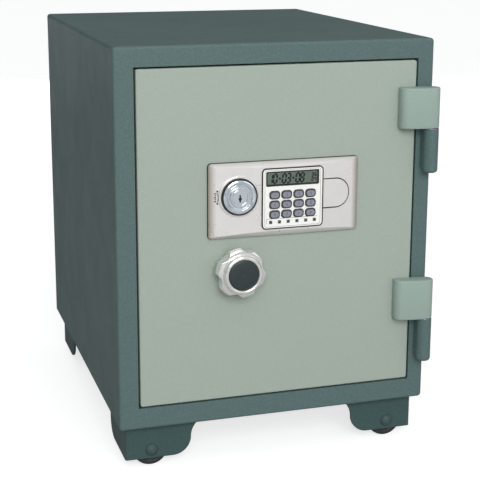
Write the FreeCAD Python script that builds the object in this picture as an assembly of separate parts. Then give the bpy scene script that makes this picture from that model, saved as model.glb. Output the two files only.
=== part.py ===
import FreeCAD, Part
import math
import os

from FreeCAD import Vector

# A small floor-standing fire-resistant safe on four fixed wheels, in millimetres.
# The model is drawn with x = 0 in the middle of the body, y = 0 on the body's front face
# and z = 0 under the body. place() then moves it to the row frame, which has its origin on
# the floor, halfway between the front of the knob and the back of the body.

# ---- body ----
BODY_W = 350.0
BODY_D = 430.0
BODY_H = 408.0
HALF_W = BODY_W / 2
SHELL_T = 2.0
CORNER_R = 4.0
FRONT_EDGE_R = 3.0
BACK_INSET = 2.0
INSIDE_W = 225.0
INSIDE_H = 280.0
INSIDE_Z = 64.0
INSIDE_BACK_Y = 368.0
SHELF_FRONT_Y = 96.0
SHELF_TOP = 200.0
SHELF_T = 1.5
SHELF_LIP = 16.0
PEG_R = 4.0
PEG_YS = [130.0, 320.0]
PEG_Z = SHELF_TOP - SHELF_T - PEG_R - 0.05
LINER_T = 1.2
FRAME_T = 1.5

# ---- door ----
DOOR_LEFT, DOOR_RIGHT = -152.0, 155.0
DOOR_BOTTOM, DOOR_TOP = 25.5, 385.0
DOOR_FACE = -1.0
DOOR_GAP = 2.0
DOOR_RIM_BACK = 15.0
LAND_Y = 17.0
PLUG_BACK = 82.0
TUNNEL_BACK = 84.0
PLUG_INSET = 16.0
PLUG_TAPER = 9.0
TUNNEL_GAP = 6.0
SKIN_T = 2.0
PAN_T = 1.5
SEAL_T = 1.2
MECH_Y = 46.0
MECH_T = 3.0

# ---- hinges ----
HINGE_X = 169.5
HINGE_Y = -11.5
STRAP_LEFT = 134.0
KNUCKLE_R = 8.0
BARREL_R = 8.0
PIN_R = 5.0
HINGES = [(49.0, 98.0, 144.0), (264.0, 312.0, 357.0)]
HINGE_STEP = 1.0
PIN_SEAT = 14.0
COLLAR_R = 7.5

# ---- lock panel ----
PANEL_LEFT, PANEL_RIGHT = -78.0, 88.0
PANEL_BOTTOM, PANEL_TOP = 205.0, 285.0
PANEL_PEAK = 8.0
PANEL_EDGE = 3.2
PANEL_FACET = 6.0
PANEL_ROLL = 8.0
PANEL_SHOULDER = 5.4
PANEL_CORNER_R = 3.5
PANEL_WALL = 2.0
PANEL_MID = (PANEL_LEFT + PANEL_RIGHT) / 2
FRAME_LEFT, FRAME_RIGHT = -20.5, 46.3
FRAME_BOTTOM, FRAME_TOP = 213.5, 277.5
FRAME_FACE = -9.6
FRAME_BACK = -4.0
FRAME_R = 4.0
WINDOW = (-16.8, 42.4, 258.6, 274.6)
WINDOW_R = 1.5
KEY_XS = [-7.2, 6.1, 19.4, 32.7]
KEY_ZS = [249.4, 238.95, 228.5]
KEY_W, KEY_H = 11.4, 8.6
KEY_FACE = -10.7
KEY_BACK = -5.2
KEY_GAP = 0.35
LIGHT_XS = [-11.5 + 9.8 * n for n in range(6)]
LIGHT_Z = 220.2
LIGHT_R = 1.1
FRAME_SLOT = 0.8
KEY_R = 3.6
COVER_LEFT, COVER_RIGHT = 47.6, 76.4
COVER_BOTTOM, COVER_TOP = 232.2, 262.6
COVER_END_R = 14.5
COVER_GAP = 0.7
HOLDER_WALL = 1.0
CELL_R = 5.2
CELL_GAP = 0.15
CELL_LEN = 44.5

# ---- key lock, knob and boltwork ----
LOCK_X, LOCK_Z = -46.0, 250.0
BOSS_R = 22.0
BEZEL_R = 19.5
CYLINDER_R = 13.0
PLUG_R = 10.9
KNOB_Z = 170.0
KNOB_FACE = -29.0
SPINDLE_R = 5.0
RUN_GAP = 0.05
CRANK_R = 14.0
CRANK_PIN_R = 3.0
BOLT_THROW = 2 * CRANK_R * math.sin(math.radians(45))
BOLT_R = 10.0
BOLT_Y = 66.0
BOLT_ZS = [100.0, 205.0, 310.0]
BOLT_TIP = -128.4
BAR_FLANGE_X = -100.0
BAR_T = 4.0
STUD_X = -88.0
STUD_ZS = [132.0, 280.0]
STUD_R = 4.0
SOLENOID_X = 10.0
ARM_BOTTOM, ARM_TOP = KNOB_Z + 1, KNOB_Z + 23
ARM_RIGHT = 42.0
PLUNGER_R = 3.0
PLUNGER_BOTTOM, PLUNGER_TOP = KNOB_Z + 25, KNOB_Z + 51
SOLENOID_BOTTOM, SOLENOID_TOP = KNOB_Z + 32, KNOB_Z + 67
BUSH_R = 8.0
POST_R = 5.0
SCREW_R = 2.0
STUD_HEAD_R = 6.5
PLATE_LEFT, PLATE_RIGHT = -126.0, 129.0
PLATE_BOTTOM, PLATE_TOP = 54.0, 356.0
POSTS = [(x, z) for x in (-114.0, 0.0, 117.0) for z in (62.0, 348.0)] + [(117.0, 152.0), (117.0, 256.0)]
KEEPER_LEFT = -152.0
KEEPER_RIGHT = -130.0
KEEPER_HALF = 13.0

# ---- feet and wheels ----
FOOT_INSET = 8.0
FOOT_SETBACK = 12.0
FOOT_T = 2.5
FOOT_DROP = 39.5
FOOT_FRONT_LEN = 85.0
FOOT_SIDE_LEN = 92.0
FLANGE_W, FLANGE_LEN = 72.0, 80.0
FORK_HALF = 16.0
FOOT_BEND_R = 3.0
DOME_R = 8.2
NUT_ACROSS = 13.0
BOLT_HEAD_ACROSS = 12.0
AXLE_X = 138.0
AXLE_DROP = 30.0
AXLE_R = 4.0
WHEEL_R = 20.0
WHEEL_W = 20.4
FORK_GAP = 22.0
FOOT_BOLTS = [(104.0, 30.0), (148.0, 66.0)]
FOOT_BOLT_R = 4.0

FLOOR_DROP = AXLE_DROP + WHEEL_R
ROW_SHIFT = Vector(0, -(BODY_D + KNOB_FACE) / 2, FLOOR_DROP)

Y_AXIS = Vector(0, 1, 0)


# ---- small helpers ----
def box(x0, x1, y0, y1, z0, z1):
    return Part.makeBox(x1 - x0, y1 - y0, z1 - z0, Vector(x0, y0, z0))


def rod_x(y, z, radius, x0, x1):
    return Part.makeCylinder(radius, x1 - x0, Vector(x0, y, z), Vector(1, 0, 0))


def rod_y(x, z, radius, y0, y1):
    return Part.makeCylinder(radius, y1 - y0, Vector(x, y0, z), Y_AXIS)


def rod_z(x, y, radius, z0, z1):
    return Part.makeCylinder(radius, z1 - z0, Vector(x, y, z0))


def join(shapes):
    whole = shapes[0].fuse(shapes[1:]) if len(shapes) > 1 else shapes[0]
    return whole.removeSplitter()


def cut_from(shape, tools):
    return shape.cut(tools)


def is_along(edge, axis):
    if not isinstance(edge.Curve, Part.Line):
        return False
    return abs(abs(edge.tangentAt(edge.FirstParameter).dot(axis)) - 1) < 1e-6


def round_along(shape, radius, axis):
    """Round every straight edge that runs along the axis."""
    return shape.makeFillet(radius, [e for e in shape.Edges if is_along(e, axis)])


def round_at_y(shape, radius, y):
    """Round every edge that lies in the plane at this y."""
    flat = [e for e in shape.Edges if abs(e.BoundBox.YMin - y) + abs(e.BoundBox.YMax - y) < 1e-4]
    return shape.makeFillet(radius, flat)


def plate_y(x0, x1, z0, z1, y0, y1, radius):
    """A plate facing the front, with its four corners rounded."""
    return round_along(box(x0, x1, y0, y1, z0, z1), radius, Y_AXIS)


def prism(points, direction):
    return Part.Face(Part.makePolygon(points + points[:1])).extrude(direction)


def hexagon_y(x, z, across, y0, y1):
    corner = across / math.sqrt(3)
    turns = [math.radians(60 * n) for n in range(6)]
    ring = [Vector(x + corner * math.cos(t), y0, z + corner * math.sin(t)) for t in turns]
    return prism(ring, Vector(0, y1 - y0, 0))


def spun_y(x, z, outline):
    """Spin an outline of (radius, y) points about the line through (x, z) along y."""
    points = [Vector(x + r, y, z) for r, y in outline]
    face = Part.Face(Part.makePolygon(points + points[:1]))
    return face.revolve(Vector(x, 0, z), Y_AXIS, 360)


def mirrored(shape, x_side, y_side):
    """Copy a front right piece to another corner of the body."""
    if x_side < 0:
        shape = shape.mirror(Vector(0, 0, 0), Vector(1, 0, 0))
    if y_side > 0:
        shape = shape.mirror(Vector(0, BODY_D / 2, 0), Y_AXIS)
    return shape


def frame_space(inset, y):
    """The door's outline, made smaller by the inset, as a rectangle at one depth."""
    left, right = DOOR_LEFT + inset, DOOR_RIGHT - inset
    low, high = DOOR_BOTTOM + inset, DOOR_TOP - inset
    corners = [(left, low), (right, low), (right, high), (left, high)]
    points = [Vector(x, y, z) for x, z in corners]
    return Part.makePolygon(points + points[:1])


def tapered(inset_front, y_front, y_back):
    """A block that narrows towards the back at the slope of the door plug."""
    slope = PLUG_TAPER / (PLUG_BACK - DOOR_RIM_BACK)
    inset_back = inset_front + slope * (y_back - y_front)
    return Part.makeLoft([frame_space(inset_front, y_front), frame_space(inset_back, y_back)], True, True)


def door_block(inset, y0, y1):
    return box(DOOR_LEFT + inset, DOOR_RIGHT - inset, y0, y1, DOOR_BOTTOM + inset, DOOR_TOP - inset)


def doorway(grow, y_front):
    """The stepped space that the door closes, grown on every side."""
    rim = door_block(-DOOR_GAP - grow, y_front, LAND_Y + grow)
    tunnel = tapered(PLUG_INSET - TUNNEL_GAP - grow, LAND_Y, TUNNEL_BACK + grow)
    return join([rim, tunnel])


def inside_block(grow, y_front, y_back):
    half = INSIDE_W / 2 + grow
    return box(-half, half, y_front, y_back, INSIDE_Z - grow, INSIDE_Z + INSIDE_H + grow)


def foot_bolt_spots():
    return [(x * sx, y if sy < 0 else BODY_D - y) for x, y in FOOT_BOLTS for sx in (-1, 1) for sy in (-1, 1)]


# ---- body pieces ----
def outer_shell():
    outer = round_along(box(-HALF_W, HALF_W, 0, BODY_D, 0, BODY_H), CORNER_R, Y_AXIS)
    outer = round_at_y(outer, FRONT_EDGE_R, 0)
    inner = box(-HALF_W + SHELL_T, HALF_W - SHELL_T, SHELL_T, BODY_D + 1, SHELL_T, BODY_H - SHELL_T)
    inner = round_along(inner, CORNER_R - SHELL_T, Y_AXIS)
    opening = door_block(-DOOR_GAP, -1, SHELL_T + 1)
    holes = [rod_z(x, y, FOOT_BOLT_R, -1, SHELL_T + 1) for x, y in foot_bolt_spots()]
    return cut_from(outer, [inner, opening] + holes)


def back_panel():
    back = BODY_D - BACK_INSET
    half = HALF_W - SHELL_T
    return plate_y(-half, half, SHELL_T, BODY_H - SHELL_T, back - SHELL_T, back, CORNER_R - SHELL_T)


def keeper_block(z, grow):
    half = KEEPER_HALF + grow
    return box(KEEPER_LEFT - grow, KEEPER_RIGHT, BOLT_Y - half, BOLT_Y + half, z - half, z + half)


def body_insulation():
    half = HALF_W - SHELL_T
    back = BODY_D - BACK_INSET - SHELL_T
    fill = box(-half, half, SHELL_T, back, SHELL_T, BODY_H - SHELL_T)
    fill = round_along(fill, CORNER_R - SHELL_T, Y_AXIS)
    liner = inside_block(LINER_T, LAND_Y, INSIDE_BACK_Y + LINER_T)
    keepers = [keeper_block(z, FRAME_T) for z in BOLT_ZS]
    holes = [rod_z(x, y, FOOT_BOLT_R, 0, 12) for x, y in foot_bolt_spots()]
    return cut_from(fill, [doorway(FRAME_T, 0), liner] + keepers + holes + peg_rods())


def door_frame():
    steel = doorway(FRAME_T, SHELL_T)
    through = inside_block(0, LAND_Y, TUNNEL_BACK + 5)
    keepers = [keeper_block(z, FRAME_T) for z in BOLT_ZS]
    return cut_from(steel, [doorway(0, -1), through] + keepers)


def bolt_keepers():
    tunnel = tapered(PLUG_INSET - TUNNEL_GAP, LAND_Y, TUNNEL_BACK)
    return [keeper_block(z, FRAME_T).cut([keeper_block(z, 0), tunnel]) for z in BOLT_ZS]


def heat_seal():
    outer = door_block(-DOOR_GAP + 2, LAND_Y - SEAL_T, LAND_Y)
    inner = door_block(PLUG_INSET - TUNNEL_GAP - 2, LAND_Y - SEAL_T - 1, LAND_Y + 1)
    return outer.cut(inner)


def peg_rods():
    half = INSIDE_W / 2
    spots = [(y, s) for y in PEG_YS for s in (-1, 1)]
    return [rod_x(y, PEG_Z, PEG_R, min(s * (half - 8), s * (half + 6)), max(s * (half - 8), s * (half + 6)))
            for y, s in spots]


def inner_liner():
    outer = inside_block(LINER_T, TUNNEL_BACK + FRAME_T, INSIDE_BACK_Y + LINER_T)
    return cut_from(outer, [inside_block(0, TUNNEL_BACK, INSIDE_BACK_Y)] + peg_rods())


def shelf():
    half = INSIDE_W / 2 - 1
    tray = box(-half, half, SHELF_FRONT_Y, INSIDE_BACK_Y - 6, SHELF_TOP - SHELF_T, SHELF_TOP)
    lip = box(-half, half, SHELF_FRONT_Y, SHELF_FRONT_Y + SHELF_T, SHELF_TOP - SHELF_LIP, SHELF_TOP)
    return join([tray, lip])


def hinge_barrels():
    barrels = []
    for low, top, _ in HINGES:
        barrel = rod_z(HINGE_X, HINGE_Y, BARREL_R, low, top)
        bottom = [e for e in barrel.Edges if e.BoundBox.ZMax < low + 0.1]
        barrel = barrel.makeFillet(3.5, bottom)
        web = box(HINGE_X - 7, HALF_W - 1, HINGE_Y + 2, 0, low + 4, top - 1)
        barrels.append(join([barrel, web]).cut(rod_z(HINGE_X, HINGE_Y, PIN_R, low + PIN_SEAT, top + 1)))
    return barrels


def hinge_pins():
    pins = []
    for low, top, strap_top in HINGES:
        shaft = rod_z(HINGE_X, HINGE_Y, PIN_R, low + PIN_SEAT, strap_top - 8)
        collar = rod_z(HINGE_X, HINGE_Y, COLLAR_R, top, top + HINGE_STEP - 0.2)
        pins.append(join([shaft, collar]))
    return pins


# ---- feet and wheels ----
def ogee_face(length, place_point):
    """A foot plate's outline: a flat bottom, then a round corner, then a hollow curve up to the body."""
    round_r, hollow_r = 20.0, 22.0
    rise = FOOT_DROP - round_r
    hollow_out = math.sqrt(hollow_r ** 2 - rise ** 2)
    neck = length + hollow_out - hollow_r
    flat_end = neck - round_r
    diagonal = math.sqrt(0.5)
    lower_mid = (flat_end + round_r * diagonal, -rise - round_r * diagonal)
    angle = math.asin(rise / hollow_r) / 2
    centre_u = neck + hollow_r
    upper_mid = (centre_u - hollow_r * math.cos(angle), -rise + hollow_r * math.sin(angle))
    top = (centre_u - hollow_out, 0)
    at = place_point
    edges = [
        Part.makeLine(at(0, 0), at(0, -FOOT_DROP)),
        Part.makeLine(at(0, -FOOT_DROP), at(flat_end, -FOOT_DROP)),
        Part.Arc(at(flat_end, -FOOT_DROP), at(*lower_mid), at(neck, -rise)).toShape(),
        Part.Arc(at(neck, -rise), at(*upper_mid), at(*top)).toShape(),
        Part.makeLine(at(*top), at(0, 0)),
    ]
    return Part.Face(Part.Wire(edges))


def foot():
    corner_x = HALF_W - FOOT_INSET
    corner_y = FOOT_SETBACK
    front = ogee_face(FOOT_FRONT_LEN, lambda u, z: Vector(corner_x - u, corner_y, z))
    side = ogee_face(FOOT_SIDE_LEN, lambda u, z: Vector(corner_x, corner_y + u, z))
    front = front.extrude(Vector(0, FOOT_T, 0))
    side = side.extrude(Vector(-FOOT_T, 0, 0))
    flange = box(corner_x - FLANGE_W, corner_x, corner_y, corner_y + FLANGE_LEN, -FOOT_T, 0)
    fork_y = corner_y + FOOT_T + FORK_GAP
    fork = box(AXLE_X - FORK_HALF, corner_x - FOOT_T, fork_y, fork_y + FOOT_T, -FOOT_DROP + 1, 0)
    bracket = join([front, side, flange, fork])
    bend = [e for e in bracket.Edges if is_along(e, Vector(0, 0, 1))
            and abs(e.BoundBox.XMin - corner_x) < 0.01 and abs(e.BoundBox.YMin - corner_y) < 0.01]
    bracket = bracket.makeFillet(FOOT_BEND_R, bend)
    holes = [rod_y(AXLE_X, -AXLE_DROP, AXLE_R, 0, fork_y + 10)]
    holes += [rod_z(x, y, FOOT_BOLT_R, -10, 1) for x, y in FOOT_BOLTS]
    return cut_from(bracket, holes)


def corners():
    return [(x_side, y_side) for y_side in (-1, 1) for x_side in (-1, 1)]


def corner_name(x_side, y_side):
    return ("front" if y_side < 0 else "rear") + ("_left" if x_side < 0 else "_right")


def axle_bolt():
    """The shank runs through both plates, and its domed head is outside."""
    tail = FOOT_SETBACK + 2 * FOOT_T + FORK_GAP + 6
    shank = rod_y(AXLE_X, -AXLE_DROP, AXLE_R, FOOT_SETBACK - 1, tail)
    dome = Part.makeSphere(DOME_R, Vector(AXLE_X, FOOT_SETBACK + 4, -AXLE_DROP))
    front = box(AXLE_X - 10, AXLE_X + 10, FOOT_SETBACK - 10, FOOT_SETBACK, -AXLE_DROP - 10, -AXLE_DROP + 10)
    return join([shank, dome.common(front)])


def axle_nut():
    start = FOOT_SETBACK + 2 * FOOT_T + FORK_GAP
    return hexagon_y(AXLE_X, -AXLE_DROP, NUT_ACROSS, start, start + 5).cut(
        rod_y(AXLE_X, -AXLE_DROP, AXLE_R, start - 1, start + 6))


def wheel():
    mid = FOOT_SETBACK + FOOT_T + FORK_GAP / 2
    half, rim, hub = WHEEL_W / 2, WHEEL_W / 2 - 1.2, 8.0
    bore = AXLE_R + RUN_GAP
    outline = [(bore, -half), (hub, -half), (hub, -rim + 1), (14, -rim + 1), (15, -rim), (18.4, -rim),
               (WHEEL_R - 0.4, -rim + 1.6), (WHEEL_R, -rim + 4)]
    back = [(r, -y) for r, y in reversed(outline)]
    return spun_y(AXLE_X, -AXLE_DROP, [(r, mid + y) for r, y in outline + back])


def foot_bolts():
    bolts = []
    for x, y in foot_bolt_spots():
        head = hexagon_y(0, 0, BOLT_HEAD_ACROSS, 0, 4)
        head.rotate(Vector(0, 0, 0), Vector(1, 0, 0), -90)
        head.translate(Vector(x, y, -FOOT_T))
        bolts.append(join([rod_z(x, y, FOOT_BOLT_R, -FOOT_T - 1, 11), head]))
    return bolts


# ---- door pieces ----
def lock_bores(y0, y1):
    """The ways through the door for the key lock, the spindle and the cells."""
    return [
        rod_y(LOCK_X, LOCK_Z, CYLINDER_R, y0, y1),
        rod_y(LOCK_X, KNOB_Z, BUSH_R, y0, y1),
        cover_outline(HOLDER_WALL, y0, y1),
    ]


def door_skin():
    pan = door_block(0, DOOR_FACE, DOOR_RIM_BACK)
    pan = round_along(pan, 2.5, Y_AXIS)
    pan = round_at_y(pan, 1.6, DOOR_FACE)
    inner = door_block(SKIN_T, DOOR_FACE + SKIN_T, DOOR_RIM_BACK + 1)
    return cut_from(pan, [inner] + lock_bores(DOOR_FACE - 1, DOOR_FACE + SKIN_T + 1))


def plug_shell():
    flange = door_block(SKIN_T, DOOR_RIM_BACK - PAN_T, DOOR_RIM_BACK)
    outer = tapered(PLUG_INSET, DOOR_RIM_BACK, PLUG_BACK)
    inner = tapered(PLUG_INSET + PAN_T, DOOR_RIM_BACK, PLUG_BACK + 1)
    mouth = door_block(PLUG_INSET + PAN_T, DOOR_RIM_BACK - PAN_T - 1, DOOR_RIM_BACK)
    bolt_holes = [rod_x(BOLT_Y, z, BOLT_R + 0.3, DOOR_LEFT, BAR_FLANGE_X) for z in BOLT_ZS]
    return cut_from(join([flange, outer]), [inner, mouth] + bolt_holes)


def door_insulation():
    slab = door_block(SKIN_T, DOOR_FACE + SKIN_T, DOOR_RIM_BACK - PAN_T)
    mouth = door_block(PLUG_INSET + PAN_T, DOOR_RIM_BACK - PAN_T, DOOR_RIM_BACK)
    plug = tapered(PLUG_INSET + PAN_T, DOOR_RIM_BACK, MECH_Y)
    return cut_from(join([slab, mouth, plug]), lock_bores(DOOR_FACE, MECH_Y + 1))


def mechanism_plate():
    """The plate carries the cover's posts and the two headed studs that guide the bolt bar."""
    back = MECH_Y + MECH_T
    plate = box(PLATE_LEFT, PLATE_RIGHT, MECH_Y, back, PLATE_BOTTOM, PLATE_TOP)
    posts = [rod_y(x, z, POST_R, back, PLUG_BACK - PAN_T) for x, z in POSTS]
    studs = [rod_y(STUD_X, z, STUD_R, back, BOLT_Y + 5) for z in STUD_ZS]
    heads = [rod_y(STUD_X, z, STUD_HEAD_R, BOLT_Y + 2.6, BOLT_Y + 5) for z in STUD_ZS]
    whole = join([plate] + posts + studs + heads)
    taps = [rod_y(x, z, SCREW_R, back + 6, PLUG_BACK + 1) for x, z in POSTS]
    bush = rod_y(LOCK_X, KNOB_Z, BUSH_R, MECH_Y - 1, back + 1)
    barrel = rod_y(LOCK_X, LOCK_Z, CYLINDER_R, MECH_Y - 1, back + 1)
    return cut_from(whole, taps + [bush, barrel])


def door_inner_cover():
    slope = PLUG_TAPER / (PLUG_BACK - DOOR_RIM_BACK)
    inset = PLUG_INSET + PAN_T + slope * (PLUG_BACK - DOOR_RIM_BACK) + 0.3
    cover = door_block(inset, PLUG_BACK - PAN_T, PLUG_BACK)
    return cut_from(cover, [rod_y(x, z, SCREW_R, PLUG_BACK - 5, PLUG_BACK + 1) for x, z in POSTS])


def cover_screws():
    screws = []
    for x, z in POSTS:
        shank = rod_y(x, z, SCREW_R, PLUG_BACK - 14, PLUG_BACK)
        head = spun_y(x, z, [(0, PLUG_BACK), (4, PLUG_BACK), (3.4, PLUG_BACK + 1.2), (0, PLUG_BACK + 1.8)])
        screws.append(join([shank, head]))
    return screws


def hinge_straps():
    straps = []
    for _, top, strap_top in HINGES:
        low = top + HINGE_STEP
        high = strap_top
        flat, crest = DOOR_FACE, HINGE_Y - KNUCKLE_R
        edges = [
            Part.makeLine(Vector(HINGE_X, HINGE_Y + KNUCKLE_R, low), Vector(HINGE_X - 9, flat, low)),
            Part.makeLine(Vector(HINGE_X - 9, flat, low), Vector(STRAP_LEFT, flat, low)),
            Part.makeLine(Vector(STRAP_LEFT, flat, low), Vector(STRAP_LEFT, -8.5, low)),
            Part.Arc(Vector(STRAP_LEFT, -8.5, low), Vector(STRAP_LEFT + 2.0, -13.0, low),
                     Vector(STRAP_LEFT + 6.5, -15.6, low)).toShape(),
            Part.Arc(Vector(STRAP_LEFT + 6.5, -15.6, low), Vector(STRAP_LEFT + 19, -18.2, low),
                     Vector(HINGE_X, crest, low)).toShape(),
            Part.Arc(Vector(HINGE_X, crest, low), Vector(HINGE_X + KNUCKLE_R, HINGE_Y, low),
                     Vector(HINGE_X, HINGE_Y + KNUCKLE_R, low)).toShape(),
        ]
        strap = Part.Face(Part.Wire(edges)).extrude(Vector(0, 0, high - low))
        bore = rod_z(HINGE_X, HINGE_Y, PIN_R + RUN_GAP, low - 1, high - 7.5)
        straps.append(strap.cut(bore))
    return straps


# ---- lock panel ----
def crown_profile(inset, drop):
    """The panel seen from above: a flat back and a front that swells towards the middle."""
    left, right = PANEL_LEFT + inset, PANEL_RIGHT - inset
    edge, peak = DOOR_FACE - PANEL_EDGE + drop, DOOR_FACE - PANEL_PEAK + drop
    shoulder = DOOR_FACE - PANEL_SHOULDER + drop
    back = DOOR_FACE if drop == 0 else DOOR_FACE + 1
    low = PANEL_BOTTOM + inset
    bulge = shoulder + 0.3 * (edge - shoulder)

    in_left, in_right = left + PANEL_ROLL, right - PANEL_ROLL

    def at(x, y):
        return Vector(x, y, low)

    edges = [
        Part.Arc(at(left, edge), at(left + PANEL_ROLL * 0.4, bulge), at(in_left, shoulder)).toShape(),
        Part.Arc(at(in_left, shoulder), at(PANEL_MID, peak), at(in_right, shoulder)).toShape(),
        Part.Arc(at(in_right, shoulder), at(right - PANEL_ROLL * 0.4, bulge), at(right, edge)).toShape(),
        Part.makeLine(at(right, edge), at(right, back)),
        Part.makeLine(at(right, back), at(left, back)),
        Part.makeLine(at(left, back), at(left, edge)),
    ]
    return Part.Face(Part.Wire(edges)).extrude(Vector(0, 0, PANEL_TOP - PANEL_BOTTOM - 2 * inset))


def facet_cutter(top):
    """A wedge that cuts the sloping facet along the top or the bottom of the panel."""
    sign = 1 if top else -1
    rim = PANEL_TOP if top else PANEL_BOTTOM
    edge, peak = DOOR_FACE - PANEL_EDGE, DOOR_FACE - PANEL_PEAK
    slope = PANEL_FACET / (PANEL_PEAK - PANEL_EDGE)
    x = PANEL_LEFT - 5
    near = Vector(x, edge + 2, rim + sign * 2 * slope)
    deep = Vector(x, peak - 4, rim - sign * (PANEL_FACET + 4 * slope))
    far = Vector(x, peak - 4, rim + sign * 2 * slope)
    return prism([near, deep, far], Vector(PANEL_RIGHT - PANEL_LEFT + 10, 0, 0))


def cover_outline(grow, y0, y1):
    """A flat side on the left and a rounded end on the right, like a capital D."""
    block = box(COVER_LEFT - grow, COVER_RIGHT + grow, y0, y1, COVER_BOTTOM - grow, COVER_TOP + grow)
    right = [e for e in block.Edges if is_along(e, Y_AXIS) and e.BoundBox.XMin > COVER_LEFT + 5]
    return block.makeFillet(COVER_END_R + grow, right)


def lock_panel():
    block = crown_profile(0, 0)
    block = block.cut([facet_cutter(True), facet_cutter(False)])
    block = block.common(plate_y(PANEL_LEFT, PANEL_RIGHT, PANEL_BOTTOM, PANEL_TOP, -20, 5, PANEL_CORNER_R))
    hollow = crown_profile(PANEL_WALL, PANEL_WALL)
    inner_facets = hollow.cut([facet_cutter(True).translated(Vector(0, PANEL_WALL, 0)),
                               facet_cutter(False).translated(Vector(0, PANEL_WALL, 0))])
    shell = block.cut(inner_facets)
    boss = rod_y(LOCK_X, LOCK_Z, BOSS_R, -9.0, DOOR_FACE)
    boss = round_at_y(boss, 1.2, -9.0)
    shell = join([shell, boss])
    ways = [
        rod_y(LOCK_X, LOCK_Z, CYLINDER_R, -20, 5),
        plate_y(FRAME_LEFT - FRAME_SLOT, FRAME_RIGHT + FRAME_SLOT, FRAME_BOTTOM - FRAME_SLOT,
                FRAME_TOP + FRAME_SLOT, -20, 5, FRAME_R + FRAME_SLOT),
        cover_outline(COVER_GAP, -20, 5),
        cover_outline(HOLDER_WALL, -5.4, 5),
    ]
    return cut_from(shell, ways)


def keypad_frame():
    frame = plate_y(FRAME_LEFT, FRAME_RIGHT, FRAME_BOTTOM, FRAME_TOP, FRAME_FACE, FRAME_BACK, FRAME_R)
    frame = round_at_y(frame, 0.6, FRAME_FACE)
    half_w, half_h = KEY_W / 2 + KEY_GAP, KEY_H / 2 + KEY_GAP
    keys = [plate_y(x - half_w, x + half_w, z - half_h, z + half_h, -20, 0, KEY_R)
            for x in KEY_XS for z in KEY_ZS]
    x0, x1, z0, z1 = WINDOW
    window = plate_y(x0, x1, z0, z1, -20, 0, WINDOW_R)
    lights = [rod_y(x, LIGHT_Z, LIGHT_R, -20, 0) for x in LIGHT_XS]
    return cut_from(frame, keys + [window] + lights)


def key_cap(x, z):
    cap = plate_y(x - KEY_W / 2, x + KEY_W / 2, z - KEY_H / 2, z + KEY_H / 2, KEY_FACE, KEY_BACK, KEY_R)
    return round_at_y(cap, 0.5, KEY_FACE)


def display_window():
    x0, x1, z0, z1 = WINDOW
    return plate_y(x0, x1, z0, z1, FRAME_FACE + 0.2, FRAME_FACE + 1.4, WINDOW_R)


def display_panel():
    x0, x1, z0, z1 = WINDOW
    return plate_y(x0, x1, z0, z1, FRAME_FACE + 1.4, FRAME_BACK, WINDOW_R)


def contact_mat():
    return box(FRAME_LEFT + 3, FRAME_RIGHT - 3, FRAME_BACK, FRAME_BACK + 1, FRAME_BOTTOM + 2, WINDOW[2] - 2)


def circuit_board():
    front, back = FRAME_BACK + 1, FRAME_BACK + 2.6
    return box(FRAME_LEFT + 2, FRAME_RIGHT - 2, front, back, FRAME_BOTTOM + 2, FRAME_TOP - 2)


def indicator_lights():
    return [rod_y(x, LIGHT_Z, LIGHT_R, FRAME_FACE - 0.2, FRAME_BACK) for x in LIGHT_XS]


def battery_holder():
    sleeve = cover_outline(HOLDER_WALL, -5.4, MECH_Y)
    inner = cover_outline(0, -8, MECH_Y - 1)
    return sleeve.cut(inner)


def batteries():
    """Four AAA cells side by side, each pair with its nubs at opposite ends."""
    mid_x, mid_z = (COVER_LEFT + COVER_RIGHT) / 2 - 2, (COVER_BOTTOM + COVER_TOP) / 2
    step = CELL_R + CELL_GAP
    back = MECH_Y - 2.0
    front = back - CELL_LEN
    cells = []
    for side_x in (-1, 1):
        for side_z in (-1, 1):
            x, z = mid_x + side_x * step, mid_z + side_z * step
            nub_in_front = side_x * side_z > 0
            can_front = front + 1.0 if nub_in_front else front
            can = rod_y(x, z, CELL_R, can_front, can_front + CELL_LEN - 1.0)
            nub = rod_y(x, z, 1.9, front, back)
            cells.append(join([can, nub]))
    return cells


def battery_cover():
    lid = cover_outline(0, -8.0, -6.0)
    return round_at_y(lid, 0.4, -8.0)


# ---- key lock, knob and boltwork ----
def lock_bezel():
    outline = [(CYLINDER_R, -9.0), (BEZEL_R, -9.0), (BEZEL_R, -10.6), (BEZEL_R - 1.2, -12.2),
               (BEZEL_R - 3, -12.8), (14.2, -12.4), (12.6, -11.2), (PLUG_R + RUN_GAP, -11.2),
               (PLUG_R + RUN_GAP, -10.0), (CYLINDER_R, -10.0)]
    return spun_y(LOCK_X, LOCK_Z, outline)


def lock_cylinder():
    tube = rod_y(LOCK_X, LOCK_Z, CYLINDER_R, -10.0, MECH_Y + MECH_T)
    return tube.cut(rod_y(LOCK_X, LOCK_Z, PLUG_R + RUN_GAP, -11, MECH_Y + MECH_T + 1))


def lock_plug():
    face = -12.6
    end = MECH_Y + MECH_T + 2
    outline = [(0, face), (7.6, face), (8.0, face + 0.5), (8.4, face + 0.5), (8.8, face), (10.2, face),
               (PLUG_R, face + 0.7), (PLUG_R, end), (0, end)]
    keyhole = box(LOCK_X - 0.8, LOCK_X + 0.8, face - 1, 12, LOCK_Z - 5.5, LOCK_Z + 2.5)
    return spun_y(LOCK_X, LOCK_Z, outline).cut(keyhole)


def lock_cam():
    start = MECH_Y + MECH_T + 2
    disc = rod_y(LOCK_X, LOCK_Z, 8, start, start + 3)
    arm = box(LOCK_X, LOCK_X + 20, start, start + 3, LOCK_Z - 5, LOCK_Z + 5)
    tip = rod_y(LOCK_X + 20, LOCK_Z, 5, start, start + 3)
    return join([disc, arm, tip])


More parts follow.
